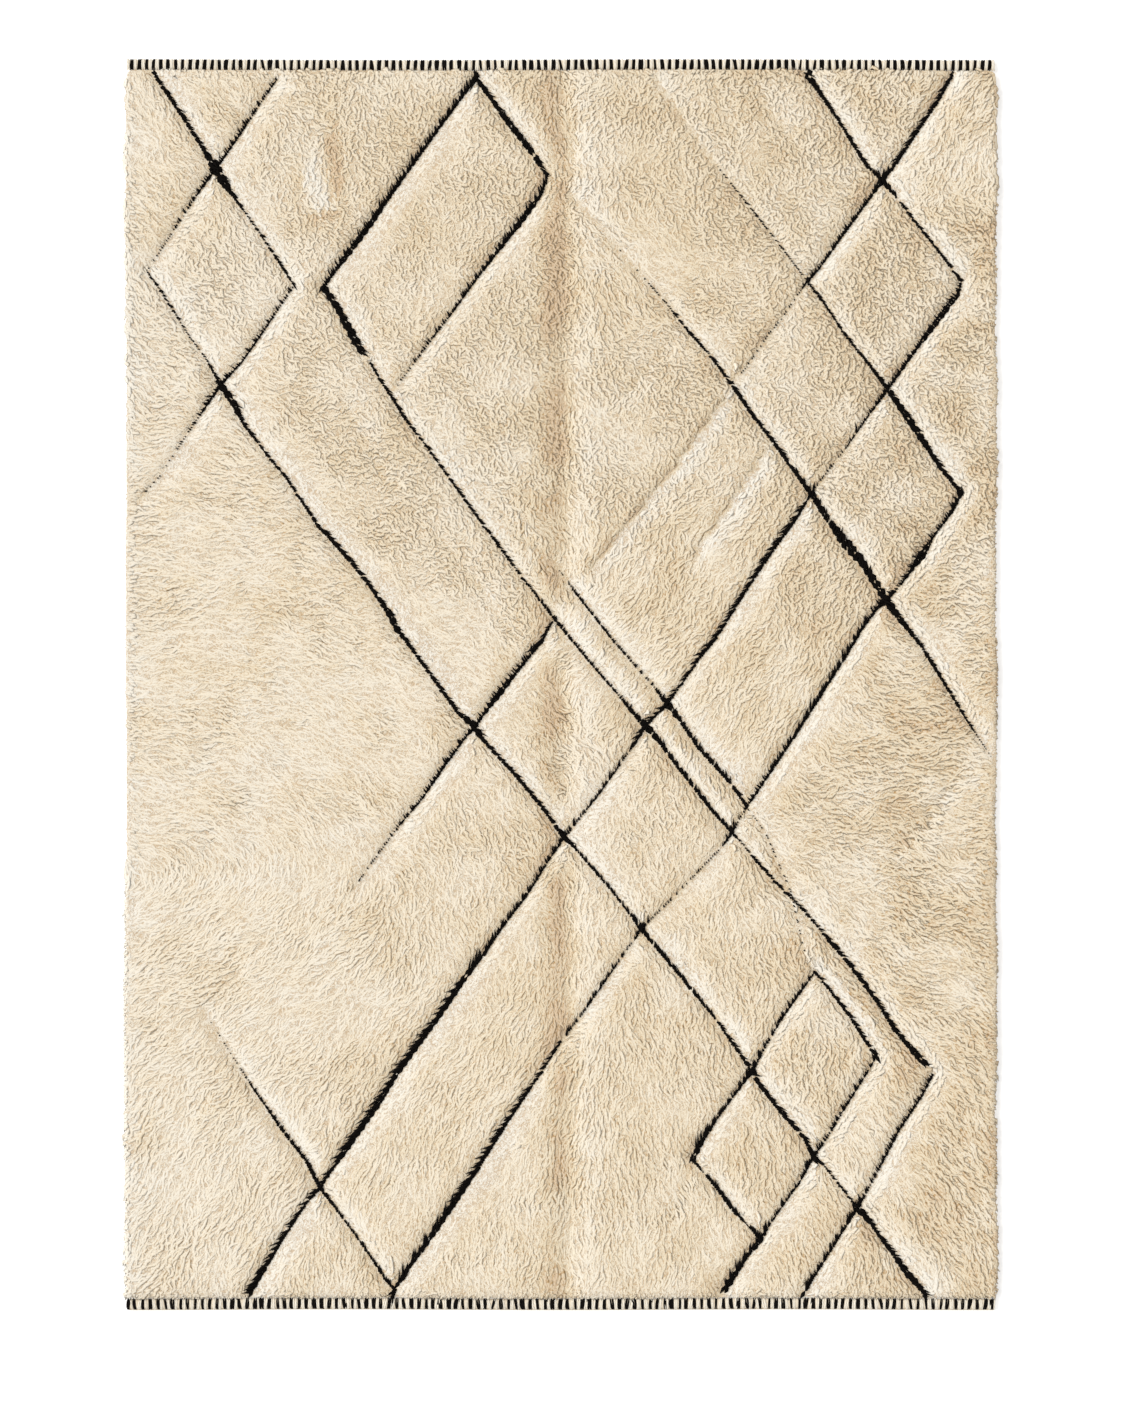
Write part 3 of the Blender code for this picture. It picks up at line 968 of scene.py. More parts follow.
def pilePlaces(curly):
    # the places of the curls, or those of the long locks, which mingle where one pile passes into the other
    x, y, rng = scattered(tuft["curlSpacing" if curly else "spacing"], tuft["seed"] + 2 * curly)
    off, _, _, width = nearestLine(x, y)
    keep = (off > -0.5 * mm) | (rng.uniform(0, 1, x.shape) > width / tuft["thinLine"])
    keep &= (off > tuft["creaseClear"]) | (width > tuft["creaseWidth"])
    unruly = combed(x, y)[2] + cloud(x, y, *tuft["curlNoise"]) > tuft["curlFrom"]
    keep &= unruly == curly
    return x[keep], y[keep], rng


def fillPlaces():
    x, y, rng = scattered(tuft["fillSpacing"], tuft["seed"] + 1)
    off, wayX, _, width = nearestLine(x, y)
    acrossIn, alongIn = insetsOf(x, y)
    bank = (off < tuft["fillBank"]) & (wayX < 0) & (width > tuft["fillWidth"])
    edge = (alongIn < tuft["fillEnd"]) | (acrossIn < tuft["fillSide"])
    keep = (off > 0) & (bank | edge)
    return x[keep], y[keep], rng


def freeReach(x, y, lieX, lieY, reach, over):
    # how far a lock can run before it comes over a line
    free = np.zeros(x.shape)
    clear = np.ones(x.shape, bool)
    for share in np.linspace(0.1, 1, 10):
        off = nearestLine(x + lieX * reach * share, y + lieY * reach * share)[0]
        clear &= off > -over
        free = np.where(clear, share, free)
    return reach * free


def stopAt(reach, room, outward):
    # shortens a lock that points at an edge
    return np.where(outward > 0.1, np.minimum(room / np.maximum(outward, 0.1), reach), reach)


def laidLocks(x, y, rng, kind):
    # places of the locks, and their direction, size and tone
    lock = dict(zip(lockNames, locks[kind]))
    off, wayX, wayY, width = nearestLine(x, y)
    right = rightOf(wayX)
    full = fullness(width)
    calm = np.clip(off / tuft["calmReach"], 0, 1)

    # the way that each lock lies
    lieX, lieY, curl, tone = combed(x, y)
    heading = np.arctan2(lieY, lieX)
    wild = curl * (1 - (1 - calm) * full * (tuft["calmed"] + tuft["calmed"] * right))
    heading += wild * sum(cloud(x, y, *swirl) for swirl in tuft["turns"])
    heading += rng.normal(0, tuft["wildTurn"], x.shape) * np.clip(2 * (wild - 0.5), 0, 1)
    acrossIn, alongIn = insetsOf(x, y)
    outside = np.maximum(off, 0)
    follow = full * right * np.exp(-((outside / lock["along"]) ** 2))
    band = full * right * np.exp(-((outside / tuft["bank"]) ** 3))  # the bank at a line's right
    down = np.sign(-wayX)
    lieX = np.cos(heading) * (1 - follow) + wayY * down * follow
    lieY = np.sin(heading) * (1 - follow) - wayX * down * follow
    lean = np.where(x > 0, tuft["leanRight"], tuft["leanLeft"])
    lieX += np.sign(x) * np.clip(1 - acrossIn / tuft["edgeLean"], 0, 1) * lean
    size = np.hypot(lieX, lieY)
    lieX, lieY = lieX / size, lieY / size

    # its length and width: it stops at a line or an edge
    short = np.clip(tuft["shortRate"] * (curl - tuft["shortFrom"]), 0, 1)
    reach = lock["reach"] + (lock["shortReach"] - lock["reach"]) * short
    reach = reach * rng.uniform(*tuft["lengths"], x.shape)
    over = tuft["overlap"] * rng.uniform(*tuft["overlapSpread"], x.shape)
    over = over - tuft["creaseGap"] * np.clip(1 - width / tuft["thinLine"], 0, 1)
    reach = stopAt(reach, off + over, lieX * wayX + lieY * wayY)
    hang = tuft["overhang"] * rng.uniform(0, 2, x.shape)
    reach = stopAt(reach, alongIn + hang, lieY * np.sign(y))
    past = np.where(y > tuft["lowFrom"], tuft["pastLeft"], tuft["pastLowLeft"])
    past = np.where(x > 0, tuft["pastRight"], past)
    room = acrossIn + past + rng.uniform(-tuft["ragged"], tuft["ragged"], x.shape) * mm
    reach = np.maximum(stopAt(reach, room, lieX * np.sign(x)), tuft["least"])
    reach = np.maximum(freeReach(x, y, lieX, lieY, reach, over), tuft["least"])
    wide = np.minimum(lock["width"], np.maximum(2 * (off + over), tuft["narrowest"]))
    wide = wide * rng.uniform(*tuft["widths"], x.shape)
    wide = np.minimum(wide * (1 + tuft["bankWider"] * band), tuft["stoutest"] * reach)

    # it runs from the ground at its root to the ground at its tip, and stands over what swells between
    z = groundHeight(x, y)
    tipX, tipY = x + lieX * reach, y + lieY * reach
    tipZ = groundHeight(tipX, tipY)
    lie = np.stack([lieX * reach, lieY * reach, tipZ - z], 1)
    lie = lie / np.linalg.norm(lie, axis=1)[:, None]
    middleX, middleY = (x + tipX) / 2, (y + tipY) / 2
    middleZ = groundHeight(middleX, middleY)
    up = groundNormal(middleX, middleY, middleZ)
    root, least, edgeLeast = standing["shortest"]
    cut = np.clip(root + (1 - root) * reach / lock["shortReach"], least, 1)
    cut = np.where(np.minimum(alongIn, acrossIn) < standing["edge"], np.maximum(cut, edgeLeast), cut)
    rise = lock["rise"] * cut * (1 - lock["calm"] * band) * (standing["calm"] + standing["unruly"] * curl)
    rise = rise * (1 + cloud(x, y, *standing["clouds"]))
    more, *across = standing["fold"]
    foldSide = more * hump((x - foldMiddle(y)) / mm, *across)
    rise = rise * (standing["plain"] + standing["coarse"] * coarseness(x) + foldSide)
    swelling = np.clip(middleZ - (z + tipZ) / 2, 0, standing["bridgeMost"])
    rise = rise + standing["bridge"] * swelling

    tone = toneOver(middleX, middleY, tone) + rng.normal(0, tint["spread"], x.shape)
    # painted shade on the tips that reach over the right side, away from the light
    tone = tone - tint["rightTipShade"] * np.clip(1 - (halfWidth - tipX) / tint["tipReach"], 0, 1)
    values = {
        "lie": lie,
        "up": up,
        "size": np.stack([reach, wide, rise], 1),
        "tone": np.clip(tone, 0, 1),
    }
    return np.stack([x, y, z], 1) - up * tuft["sunk"], values


def creamPile(tree, kinds, material):
    settings = {"stray turn": tuft["strayTurn"], "uneven": tuft["uneven"], "seed": tuft["seed"]}
    places, values = laidLocks(*fillPlaces(), "fill")
    pieces = [spread(tree, "cream_fill", places, values, kinds["fill"], material, settings)]
    for kind, count in tuft["bands"].items():
        places, values = laidLocks(*pilePlaces(kind == "curl"), kind)
        # pieces of about the same size
        order = np.argsort(places[:, 1], kind="stable")
        for i, mine in enumerate(np.array_split(order, count)):
            chosen = {name: found[mine] for name, found in values.items()}
            settings["seed"] = tuft["seed"] + 10 * i
            name = f"cream_{kind}_{i + 1}"
            pieces.append(spread(tree, name, places[mine], chosen, kinds[kind], material, settings))
    for piece in pieces:
        mapByTone(piece)
    return pieces


# the locks of black wool
knot = {
    "pitch": 5.0 * mm,  # from one lock across a line to the next
    "nick": 1.2 * mm,  # the extra gap after each group of teeth
    "bead": 15 * mm,  # length of the swellings of a thin line
    "swelling": (0.5, 0.04, 0.06, 0.3),  # their size, how much less with each mm of width, least, most
    "pitches": (0.85, 1.15),  # least and most, as shares of the usual pitch
    "widths": (0.85, 1.1),  # the same of the width
    "width": 4.9 * mm,
    "thinWidth": 0.62,  # of a lock of a thin line, as a share of that
    "rise": 5.0 * mm,
    "least": 0.5 * mm,  # a line narrower than this has no lock at all
    "stray": 0.16,  # how far the locks turn one by one, in radians
    "along": 0.45,  # below this the pile lies so much along the line that the lock is turned across it
    "across": 0.7,
    "tooth": (0.6 * mm, 6.8 * mm),  # how far a lock's tip passes the line's edge
    "toothSpread": (0.6, 1.15),
    "thinTooth": 0.5,
    "rightTooth": 0.36,  # of a line like a backslash, which has its teeth at its right
    "smoothFrom": (0.42, 0.5),  # right of and above this place the teeth are shorter
    "smoothTooth": 0.5,
    "endRun": 12 * mm,  # the teeth get shorter this near to a line's end
    "bindingFrom": 1.09,  # but not where it runs under a binding, this far from the rug's middle
    "saw": 4,
    "blockEach": 3,  # one low lock, or row of them, for so many locks across
    "blockLength": 22 * mm,  # of the low locks along the line, under the others
    "blockRow": 8 * mm,  # a wide line has more than one row of them
    "blockRise": 0.85,
    "blockWidths": (1.35, 1.9),  # of a single row and of several, as shares of the row's part of the line
    "blockSpread": 0.9,  # the share of the line's width that the rows take up
    "leftNarrow": 0.8,  # how much narrower they are where the line's teeth are at its left
    "leftShift": 0.1,  # and how far they shift, as a share of the line's width
    "back": 3 * mm,  # they start this far back
    "sparse": 4.5 * mm,  # a line narrower than this has gaps
    "atLeast": 0.1,  # chance of a knot in the very thinnest
    "uneven": 0.14,  # of each copy's size
    "steepest": 0.35,  # the most that a lock climbs, as a share of its length
    "shapes": {
        "across": [
            [(0.16, 0.0, 0.9, 0.5, 1.0), (0.60, 0.10, 1.0, 0.6, 0.72)],
            [(0.16, 0.0, 0.9, 0.5, 1.0), (0.60, -0.12, 1.0, 0.6, 0.72)],
        ],
        "under": [[(0.5, 0.0, 1.0, 0.6, 0.66)]],
    },
    "tips": {"across": 0.5, "under": 0.3},
    "seed": 8,
}


def blackPlaces(places, rng):
    # the locks of one line, from its upper end down: place, direction, length, width, rise
    line = np.array(places if places[0][1] > places[-1][1] else places[::-1]) / (1000, 1000, 1)
    run = np.concatenate([[0], np.cumsum(np.hypot(*np.diff(line[:, :2], axis=0).T))])

    def at(distance):
        return np.array([np.interp(distance, run, line[:, i]) for i in range(3)])

    across, under = [], []
    distance, count = 0.0, 0
    phase = rng.uniform(0, math.tau)
    while distance < run[-1]:
        x, y, width = at(distance)
        down = at(min(distance + 3 * mm, run[-1])) - at(max(distance - 3 * mm, 0))
        down = down[:2] / np.hypot(*down[:2])
        leftward = down[0] < 0  # a line like / has its teeth at its left, and the other kind at its right
        side = np.array((down[1], -down[0]) if leftward else (-down[1], down[0]))
        beads = math.sin(distance * math.tau / knot["bead"] + phase)
        band = width * mm
        most, less, *limits = knot["swelling"]
        width = band * rng.uniform(*knot["widths"]) * (1 + beads * np.clip(most - less * width, *limits))
        thin = width < knot["sparse"]
        if width > knot["least"] and rng.uniform(0, 1) < width / knot["sparse"] + knot["atLeast"]:
            lie = np.array([float(v[0]) for v in combed(np.array([x]), np.array([y]))[:2]])
            over = lie @ side
            if abs(over) > knot["along"]:
                lie = lie * np.sign(over)
            else:
                lie = down * np.sign(lie @ down) + side * knot["across"]
            turn = rng.normal(0, knot["stray"])
            lie = np.array((lie[0] - lie[1] * turn, lie[1] + lie[0] * turn))
            lie = lie / np.hypot(*lie)
            slant = max(lie @ side, knot["along"])
            # each tooth is a little longer than the last, then short again
            saw = (count % knot["saw"]) / (knot["saw"] - 1)
            shortest, longest = knot["tooth"]
            tooth = shortest + (longest - shortest) * saw * rng.uniform(*knot["toothSpread"])
            tooth *= knot["thinTooth"] if thin else 1
            tooth *= 1 if leftward else knot["rightTooth"]
            tooth *= knot["smoothTooth"] if x > knot["smoothFrom"][0] and y > knot["smoothFrom"][1] else 1
            if abs(y) < knot["bindingFrom"]:
                tooth *= min(1, min(distance, run[-1] - distance) / knot["endRun"])
            root = np.array((x, y)) - side * (width / 2 - 0.6 * mm)
            wide = knot["width"] * (knot["thinWidth"] if thin else 1) * rng.uniform(*knot["widths"])
            across.append((*root, *lie, (width + tooth) / slant, wide, knot["rise"]))
        if count % knot["blockEach"] == 0 and not thin:
            rows = max(1, round(band / knot["blockRow"]))
            wide = band / rows * knot["blockWidths"][rows > 1] * (knot["leftNarrow"] if leftward else 1)
            for row in range(rows):
                place = ((row + 0.5) / rows - 0.5) * knot["blockSpread"]
                place -= knot["leftShift"] if leftward else 0
                start = np.array((x, y)) - down * knot["back"] + side * place * band
                under.append((*start, *down, knot["blockLength"], wide, knot["rise"] * knot["blockRise"]))
        count += 1
        nick = knot["nick"] if count % knot["saw"] == 0 else 0
        distance += knot["pitch"] * rng.uniform(*knot["pitches"]) + nick
    return across, under


def blackKnots(tree, kinds, material):
    rng = np.random.default_rng(knot["seed"])
    rows = {"across": [], "under": []}
    for places in lattice.values():
        across, under = blackPlaces(places, rng)
        rows["across"] += across
        rows["under"] += under
    parts = []
    for name, found in rows.items():
        x, y, lieX, lieY, reach, width, rise = np.array(found).T
        z = groundHeight(x, y)
        tipZ = groundHeight(x + lieX * reach, y + lieY * reach)
        climb = np.minimum(tipZ - z, knot["steepest"] * reach)
        lie = np.stack([lieX * reach, lieY * reach, climb], 1)
        up = groundNormal(x, y, z)
        values = {
            "lie": lie / np.linalg.norm(lie, axis=1)[:, None],
            "up": up,
            "size": np.stack([reach, width, rise], 1),
            "tone": rng.uniform(0, 1, x.shape),
        }
        settings = {"stray turn": 0.0, "uneven": knot["uneven"], "seed": knot["seed"]}
        places = np.stack([x, y, z], 1) - up * tuft["sunk"]
        parts.append(spread(tree, f"black_{name}", places, values, kinds[name], material, settings))
    for part in parts:
        mapByTone(part)
    return parts


# the rolled ends and the yarn round them
binding = {
    "length": 1.591,
    "depth": 22 * mm,
    "height": 12.5 * mm,
    "squareness": 2.6,  # 2 is a round section
    "yarn": 1.7 * mm,  # half the thickness of a strand
    "turnSteps": 12,
    "strandSides": 5,
    "blackStrand": 1.95 * mm,  # half its width at the widest
    "creamStrand": 2.1 * mm,
    "blackLeast": 0.3,  # its width round the back, as a share of that
    "creamLeast": 0.7,
    "blackGap": 1.4 * mm,  # half the way between the two strands of a turn
    "creamGap": 1.75 * mm,
    "creamShare": 1.9,  # less an end's share of black, this is its share of cream
    "blackLift": 1.03,  # how much taller the black turns are
    "opening": (-1, 3.5),  # least and most that a turn's two strands lean apart, in degrees
    "core": 0.80,  # the core's section as a share of the whole
    "coreSides": 12,
    "coreSteps": 60,
    "endRound": 6 * mm,
    "cordSides": 6,
    "cordLength": 0.997,  # as a share of the core's
    "cordUp": 0.42,  # its height, as a share of the binding's
    # bend and wedge of each form of strand, and the forms of a turn's two strands
    "forms": [(0.0, 0.0), (1.1 * mm, 0.0), (-1.1 * mm, 0.0), (0.3 * mm, 0.4), (-0.3 * mm, -0.4)],
    "pairs": [(0, 0), (1, 1), (2, 2), (3, 3), (4, 4), (2, 1)],
}
# places of the first and the last black turn, how uneven the turns are in degrees, width and place,
# how far out from the pile they lie, how wide the black ones are, how much of each pair of forms,
# and half the thickness of the cord under them
ends = {
    "top": {
        "side": 1, "turns": 119, "first": -786 * mm, "last": 785 * mm, "tilt": 4.5, "uneven": 0.13,
        "shift": 0.5 * mm, "out": 1.6 * mm, "black": 1.14,
        "pairs": (0.08, 0.10, 0.12, 0.16, 0.14, 0.40), "cord": 0, "seed": 31,
    },
    "bottom": {
        "side": -1, "turns": 117, "first": -793 * mm, "last": 790 * mm, "tilt": 6.0, "uneven": 0.18,
        "shift": 0.95 * mm, "out": 2.5 * mm, "black": 1.1,
        "pairs": (0.06, 0.12, 0.38, 0.08, 0.12, 0.24), "cord": 1.3 * mm, "seed": 32,
    },
}


def bindingMiddle(end, x):
    # y of the middle of a binding's section
    middle = end["side"] * (halfCloth + rug["gap"] + binding["depth"] / 2 + end["out"])
    return middle + end["side"] * wander("top" if end["side"] > 0 else "bottom", x / rug["width"])


def roundPlaces(count):
    return [math.tau * i / count for i in range(count)]


def sectionPlace(turn, thick):
    # a place on the binding's rounded section, thick inside its outline: out from the cloth, and up
    a = binding["depth"] / 2 - thick
    b = binding["height"] / 2 - thick
    c, s = math.cos(turn), math.sin(turn)
    power = binding["squareness"]
    size = (abs(c) ** power + abs(s) ** power) ** (-1 / power)
    return a * c * size, b * s * size


def strandShape(name, halfWide, least, bend, wedge):
    # one closed turn of yarn round the binding, across its local XZ, widest on top, where it may be bent
    steps, sides = binding["turnSteps"], binding["strandSides"]
    points, faces = [], []
    for i in range(steps):
        turn = math.tau * i / steps
        out, up = sectionPlace(turn, binding["yarn"])
        top = max(0.0, math.sin(turn))
        barrel = (least + (1 - least) * top) * (1 + wedge * math.cos(turn) * top)
        for j in range(sides):
            angle = math.tau * j / sides
            thick = binding["yarn"] * math.cos(angle)
            length = math.hypot(out, up)
            points.append((
                out + thick * out / length,
                halfWide * barrel * math.sin(angle) + bend * (top - 0.5),
                up + thick * up / length,
            ))
    for i in range(steps):
        for j in range(sides):
            a, b = i * sides + j, i * sides + (j + 1) % sides
            c, d = (i + 1) % steps * sides + (j + 1) % sides, (i + 1) % steps * sides + j
            faces.append((a, b, c, d))
    shape = meshPiece(name, points, faces)
    layer = shape.data.uv_layers.new(name="OFBake")
    for face in range(len(faces)):
        i, j = divmod(face, sides)
        for k, (across, along) in enumerate(((j, i), (j + 1, i), (j + 1, i + 1), (j, i + 1))):
            layer.uv[face * 4 + k].vector = (across / sides, along / steps)
    return shape


def tube(points, faces, sections):
    # adds one closed tube through rings of the same number of points
    sides = len(sections[0])
    base = len(points)
    for ring in sections:
        points += ring
    for i in range(len(sections) - 1):
        for j in range(sides):
            a, b = base + i * sides + j, base + i * sides + (j + 1) % sides
            faces.append((a, a + sides, b + sides, b))
    faces.append(tuple(base + j for j in range(sides)))
    faces.append(tuple(len(points) - sides + j for j in range(sides))[::-1])


def coreMesh(name, end, material):
    # the rolled cloth that the yarn goes round, with rounded ends
    points, faces = [], []
    half = binding["length"] / 2
    rounding = [binding["endRound"] * (1 - math.sin(math.pi / 8 * i)) for i in range(5)]
    flat = half - binding["endRound"]
    even = np.linspace(-flat, flat, binding["coreSteps"])[1:-1]
    stops = [*(-flat - r for r in rounding), *even, *(flat + r for r in rounding[::-1])]
    rings, cord = [], []
    for x in stops:
        middle = bindingMiddle(end, x)
        off = min(max(abs(x) - flat, 0) / binding["endRound"], 0.97)
        size = binding["core"] * math.sqrt(1 - off * off)
        around = [sectionPlace(turn, 0) for turn in roundPlaces(binding["coreSides"])]
        rings.append([(x, middle + out * size, binding["height"] / 2 + up * size) for out, up in around])
        outer = middle + end["side"] * (binding["depth"] / 2 - end["cord"] / 2)
        around = [(math.cos(turn), math.sin(turn)) for turn in roundPlaces(binding["cordSides"])]
        low = binding["height"] * binding["cordUp"]
        place = x * binding["cordLength"]
        cord.append([(place, outer + out * end["cord"], low + up * end["cord"]) for out, up in around])
    tube(points, faces, rings)
    if end["cord"]:
        tube(points, faces, cord)
    return meshPiece(name, points, faces, material)


def makeBinding(tree, name, end, shapes, materials):
    rng = np.random.default_rng(end["seed"])
    pitch = (end["last"] - end["first"]) / (end["turns"] - 1)
    made = [coreMesh(name, end, materials["core"])]
    for colour in ("black", "cream"):
        rows = []
        first = end["first"] - (pitch / 2 if colour == "cream" else 0)
        share = end["black"] if colour == "black" else binding["creamShare"] - end["black"]
        for i in range(end["turns"] + (colour == "cream")):
            x = first + i * pitch + rng.normal(0, end["shift"])
            lean = rng.normal(0, end["tilt"])
            wide = share * (1 + rng.normal(0, end["uneven"]))
            pair = binding["pairs"][rng.choice(len(binding["pairs"]), p=end["pairs"])]
            for way, form in zip((-1, 1), pair):
                tilt = math.radians(90 + lean + way * rng.uniform(*binding["opening"]))
                place = x + way * binding[f"{colour}Gap"] * wide
                rows.append((place, math.cos(tilt), math.sin(tilt), wide, rng.uniform(0, 1), form))
        rows = [row for row in rows if abs(row[0]) < binding["length"] / 2 - 1 * mm]
        x, turnX, turnY, wide, tone, form = np.array(rows).T
        places = np.stack([x, bindingMiddle(end, x), np.full(x.shape, binding["height"] / 2)], 1)
        flat = np.zeros_like(x)
        lift = 1 if colour == "cream" else binding["blackLift"]
        values = {
            "lie": np.stack([turnX, turnY * end["side"], flat], 1),
            "up": np.stack([flat, flat, flat + 1], 1),
            "size": np.stack([flat + 1, wide, flat + lift], 1),
            "tone": tone,
            "kind": form,
        }
        settings = {"stray turn": 0.0, "uneven": 0.0, "seed": 1}
        mine = shapes[colour], materials[colour], settings
        made.append(spread(tree, f"{name}_{colour}", places, values, *mine))
    return made


# the wools' colours and finish
wool = {
    "roughness": 0.95,
    "sheenRoughness": 0.6,
    # painted shade of the crevices between and inside the locks, also used for their random flecks
    "creviceShadeAndFlecks": (0.52, 0.335, 0.16, 1),
    "tan": (0.74, 0.58, 0.405),
    "sand": (0.825, 0.71, 0.52),
    "cream": (0.885, 0.795, 0.64),
    "ivory": (0.90, 0.85, 0.75),
    "stops": (0.0, 0.3, 0.6, 1.0),  # the tones that have these four colours
    "rootReach": 0.32,  # how far up a lock its dark root goes, partly the wool's own root colour and partly painted shade where the locks overlap
    "rootColourAndShade": 0.85,
    # painted shade along a lock's edges, where it meets the next
    "edgePaintedShade": 0.75,
    "groovePlace": 0.3,  # of the line between a lock's two strands, across it
    "grooveHalf": 0.1,
    "strandGrooveShade": 0.52,  # how dark the painted shade in that line is
    "grain": 4.4,  # how uneven a lock's own tone is
    "flecks": (60.0, 7.0),  # of that, across all tones and along a lock
    "clean": 0.14,  # taken off all this darkness
    "palest": 1.25,  # the paler a lock, the less of it shows
    "fibres": (260.0, 6.0),  # of a lock's relief, across all tones and along a lock
    "fibreHeight": 0.4 * mm,
    "swirl": {"Scale": 170.0, "Detail": 2.0, "Distortion": 1.6},  # of the body, between the locks, whose darker swirls are painted shade in the crevices between curls
    "swirlShade": (0.38, 0.56, 0.62, 0.04),  # from and to these noise values, its painted shade from and to these
    "fine": {"Scale": 420.0, "Detail": 2.0},
    "coreDark": (0.66, 0.54, 0.38, 1),
    "corePale": (0.90, 0.82, 0.68, 1),
    "blackRoot": (0.004, 0.0035, 0.003, 1),
    "blackTip": (0.010, 0.008, 0.007, 1),
    "smoothness": 0.62,  # how much a lock is lit as the pile around it is
    "blackYarn": ((0.003, 0.0025, 0.002, 1), (0.011, 0.009, 0.008, 1)),
    "creamYarn": ((0.76, 0.67, 0.52, 1), (0.96, 0.92, 0.83, 1)),
    "yarnTurns": 9,  # of a strand's plies, once round the binding
    "fuzz": {"Scale": 900.0, "Detail": 2.0},
    # painted shade in the grooves between a strand's plies, paler on their crests
    "plyGrooveShade": 0.35,
    "plyHeight": 0.3 * mm,
}


def valueOf(wire, name):
    return wire.node("ShaderNodeAttribute", {"attribute_name": name}, None, "Fac")


def fibres(wire, across, along):
    # unevenness of a lock's own, with this many waves over its map
    own = wire.node("ShaderNodeUVMap", {"uv_map": "OFBake"})
    stretch = wire.vector("MULTIPLY", own, (across, along, 1.0))
    return wire.node("ShaderNodeTexNoise", None, {"Vector": stretch, "Scale": 1.0, "Detail": 1.0})


def softened(wire):
    # the lock's own normal, blended with that of the pile's surface
    own = wire.node("ShaderNodeNewGeometry", None, None, "Normal")
    around = wire.node("ShaderNodeAttribute", {"attribute_name": "up"}, None, "Vector")
    inputs = {0: wool["smoothness"], 4: own, 5: around}
    blend = wire.node("ShaderNodeMix", {"data_type": "VECTOR"}, inputs, 1)
    return wire.vector("NORMALIZE", blend)


def fade(place, start, end, first, last):
    # goes from first to last as place goes from start to end
    inputs = {"Value": place, 1: start, 2: end, 3: first, 4: last}
    return place.node("ShaderNodeMapRange", None, inputs)


def noise(wire, settings):
    place = wire.node("ShaderNodeTexCoord", None, None, "Object")
    return wire.node("ShaderNodeTexNoise", None, {"Vector": place, **settings})


def shadeOf(tone):
    colours = [wool[name] for name in ("tan", "sand", "cream", "ivory")]
    stops = list(zip(wool["stops"], colours))
    return tone.node("ShaderNodeValToRGB", {"stops": stops}, {"Fac": tone})


def creamTuft(wire):
    tone, along, side = (valueOf(wire, name) for name in ("tone", "along", "side"))
    deep = fade(along, 0.0, wool["rootReach"], wool["rootColourAndShade"], 0.0)
    edge = abs(side - 0.5) * 2.0
    between = abs(side - wool["groovePlace"])
    paintedGroove = fade(between, 0.0, wool["grooveHalf"], wool["strandGrooveShade"], 0.0)
    grain = (fibres(wire, *wool["flecks"]) - 0.5) * wool["grain"]
    # painted shade at the root, along the edges and in the groove between the strands, with random flecks
    dark = deep + edge * edge * wool["edgePaintedShade"] + paintedGroove + grain - wool["clean"]
    colour = mixed(dark * (wool["palest"] - tone), shadeOf(tone), wool["creviceShadeAndFlecks"])
    relief = fibres(wire, *wool["fibres"]) * wool["fibreHeight"]
    return colour, relief, 0.5, softened(wire)


def blackTuft(wire):
    colour = mixed(valueOf(wire, "along"), wool["blackRoot"], wool["blackTip"])
    return colour, fibres(wire, *wool["fibres"]) * wool["fibreHeight"], 0.5, None


def bodyWool(wire):
    # darker swirls of painted shade between the curls, over the body's tone
    swirls = noise(wire, wool["swirl"])
    share = fade(swirls, *wool["swirlShade"])
    colour = mixed(share, shadeOf(valueOf(wire, "tone")), wool["creviceShadeAndFlecks"])
    return colour, (swirls * 3.0 + noise(wire, wool["fine"])) * (1.2 * mm), 0.8, None


def coreWool(wire):
    fine = noise(wire, wool["fine"])
    return mixed(fine, wool["coreDark"], wool["corePale"]), fine * (0.8 * mm), 0.6, None


def yarn(dark, pale):
    def build(wire):
        own = wire.node("ShaderNodeUVMap", {"uv_map": "OFBake"})
        around, along = (wire.node("ShaderNodeSeparateXYZ", None, {0: own}, i) for i in range(2))
        twist = around * (2 * math.tau) + along * (wool["yarnTurns"] * math.tau)
        ply = twist.maths("SINE", twist)
        fuzz = noise(wire, wool["fuzz"])
        relief = ply * wool["plyHeight"] + fuzz * wool["plyHeight"]
        # the plies' grooves are painted darker as shade, with random fuzz
        return mixed(ply * wool["plyGrooveShade"] + fuzz, dark, pale), relief, 0.6, None
    return build


stage = {
    "paleFloor": (0.92, 0.92, 0.92, 1),
    "floorGlow": 0.35,
    "sun": 2.15,
    "sunColour": (1.0, 0.985, 0.96),
    "sunAngle": 40,  # degrees across: a soft light
    "sunHeight": 42,
    "sunFrom": 160,  # degrees round from +X: from the left, a little from the top
    "ambient": 0.64,
    "cameraBack": 7.145,
    "cameraY": -0.0311,
    "lens": 100,
}


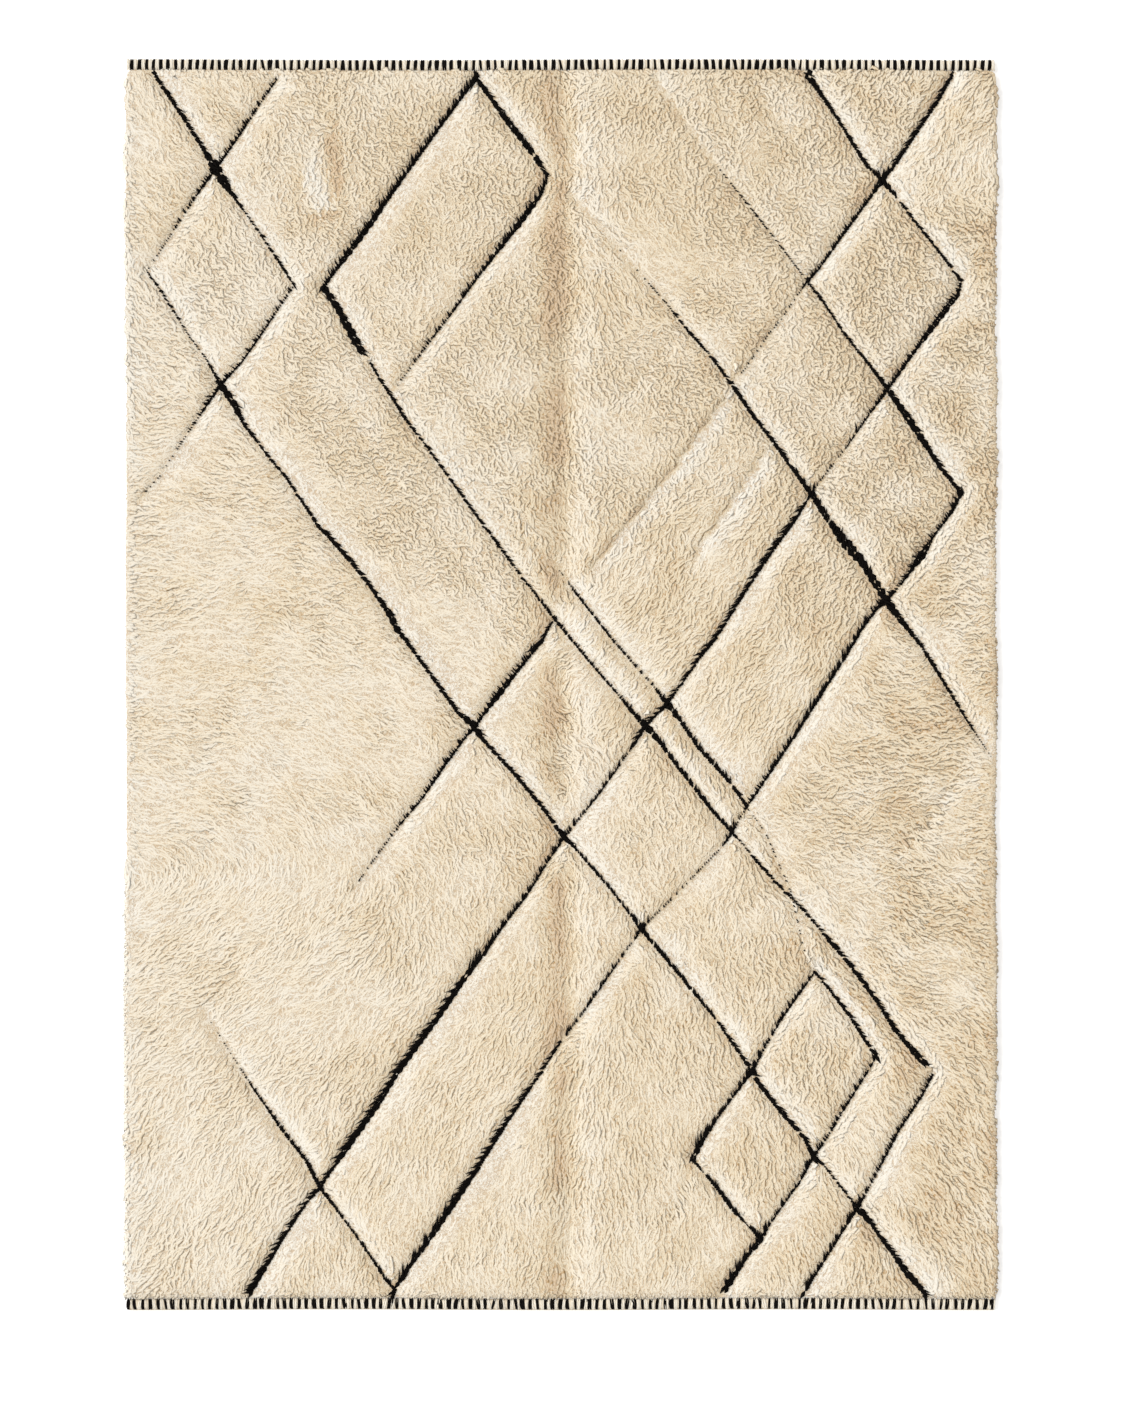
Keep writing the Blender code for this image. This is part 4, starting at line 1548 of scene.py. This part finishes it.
def makeStage():
    bpy.ops.mesh.primitive_plane_add(size=60)
    floor = bpy.context.object
    floor.name = "floor"
    material = bpy.data.materials.new("pale floor")
    material.use_nodes = True
    setInputs(material.node_tree.nodes["Principled BSDF"], {
        "Base Color": stage["paleFloor"],
        "Roughness": 0.9,
        "Specular IOR Level": 0.1,
        "Emission Color": (1, 1, 1, 1),
        "Emission Strength": stage["floorGlow"],
    })
    floor.data.materials.append(material)
    lamp = bpy.data.lights.new("soft key", "SUN")
    lamp.energy = stage["sun"]
    lamp.angle = math.radians(stage["sunAngle"])
    lamp.color = stage["sunColour"]
    key = bpy.data.objects.new("soft key", lamp)
    key.rotation_mode = "XYZ"
    key.rotation_euler = (0, math.radians(90 - stage["sunHeight"]), math.radians(stage["sunFrom"]))
    bpy.context.scene.collection.objects.link(key)
    world = bpy.data.worlds.new("studio")
    world.use_nodes = True
    background = world.node_tree.nodes["Background"]
    setInputs(background, {"Color": (1, 1, 1, 1), "Strength": stage["ambient"]})
    bpy.context.scene.world = world
    lens = bpy.data.cameras.new("camera")
    lens.lens = stage["lens"]
    lens.sensor_width = 36
    camera = bpy.data.objects.new("camera", lens)
    camera.location = (0, stage["cameraY"], stage["cameraBack"])
    bpy.context.scene.collection.objects.link(camera)
    bpy.context.scene.camera = camera
    bpy.context.scene.view_settings.view_transform = "Standard"


makeStage()
print("stage made")

bodyMaterial = woolMaterial("rug body wool", bodyWool)
creamMaterial = woolMaterial("cream tuft", creamTuft, sheen=0.1)
blackMaterial = woolMaterial("black tuft", blackTuft, specular=0.05)
bindingMaterials = {
    "core": woolMaterial("binding core wool", coreWool),
    "black": woolMaterial("black yarn", yarn(*wool["blackYarn"]), specular=0.05),
    "cream": woolMaterial("cream yarn", yarn(*wool["creamYarn"]), sheen=0.1),
}

rugBody = makeBody(bodyMaterial)
print("body made:", len(rugBody.data.polygons), "faces")

tree = tuftTree()
longLocks = [wavyLock(f"cream lock {i}", sway) for i, sway in enumerate(tuft["sways"])]
curls = [curledLock(f"cream curl {i}", shifts) for i, shifts in enumerate(tuft["curls"])]
lowLocks = [lockShape(f"fill lock {i}", sections) for i, sections in enumerate(tuft["low"], 1)]
creamKinds = {
    "long": kindsOf("cream locks", longLocks),
    "curl": kindsOf("cream curls", curls),
    "fill": kindsOf("fill locks", lowLocks),
}
blackKinds = {}
for use, forms in knot["shapes"].items():
    tip = knot["tips"][use]
    shapes = [lockShape(f"black lock {use} {i}", form, tip) for i, form in enumerate(forms, 1)]
    blackKinds[use] = kindsOf(f"black locks {use}", shapes)
pile = creamPile(tree, creamKinds, creamMaterial)
print("pile made:", sum(len(p.data.polygons) for p in pile), "faces")
knots = blackKnots(tree, blackKinds, blackMaterial)
print("knots made:", sum(len(p.data.polygons) for p in knots), "faces")

strands = {}
for colour in ("black", "cream"):
    size = binding[f"{colour}Strand"], binding[f"{colour}Least"]
    shapes = [strandShape(f"{colour} strand {i}", *size, *form) for i, form in enumerate(binding["forms"])]
    strands[colour] = kindsOf(f"{colour} strands", shapes)
bindings = {}
for name, end in ends.items():
    bindings[name] = makeBinding(tree, f"{name}_binding", end, strands, bindingMaterials)
for kinds in (*creamKinds.values(), *blackKinds.values(), *strands.values()):
    for shape in list(kinds.objects):
        bpy.data.objects.remove(shape)
    bpy.data.collections.remove(kinds)
print("bindings made:", sum(len(p.data.polygons) for made in bindings.values() for p in made), "faces")

everything = [rugBody, *pile, *knots, *bindings["top"], *bindings["bottom"]]
for piece in everything:
    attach(piece, "root")
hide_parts("rug_pile")
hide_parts("end_binding_top")
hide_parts("end_binding_bottom")

total = 0
for piece in everything:
    piece.data.calc_loop_triangles()
    total += len(piece.data.loop_triangles)
print("triangles in all:", total)
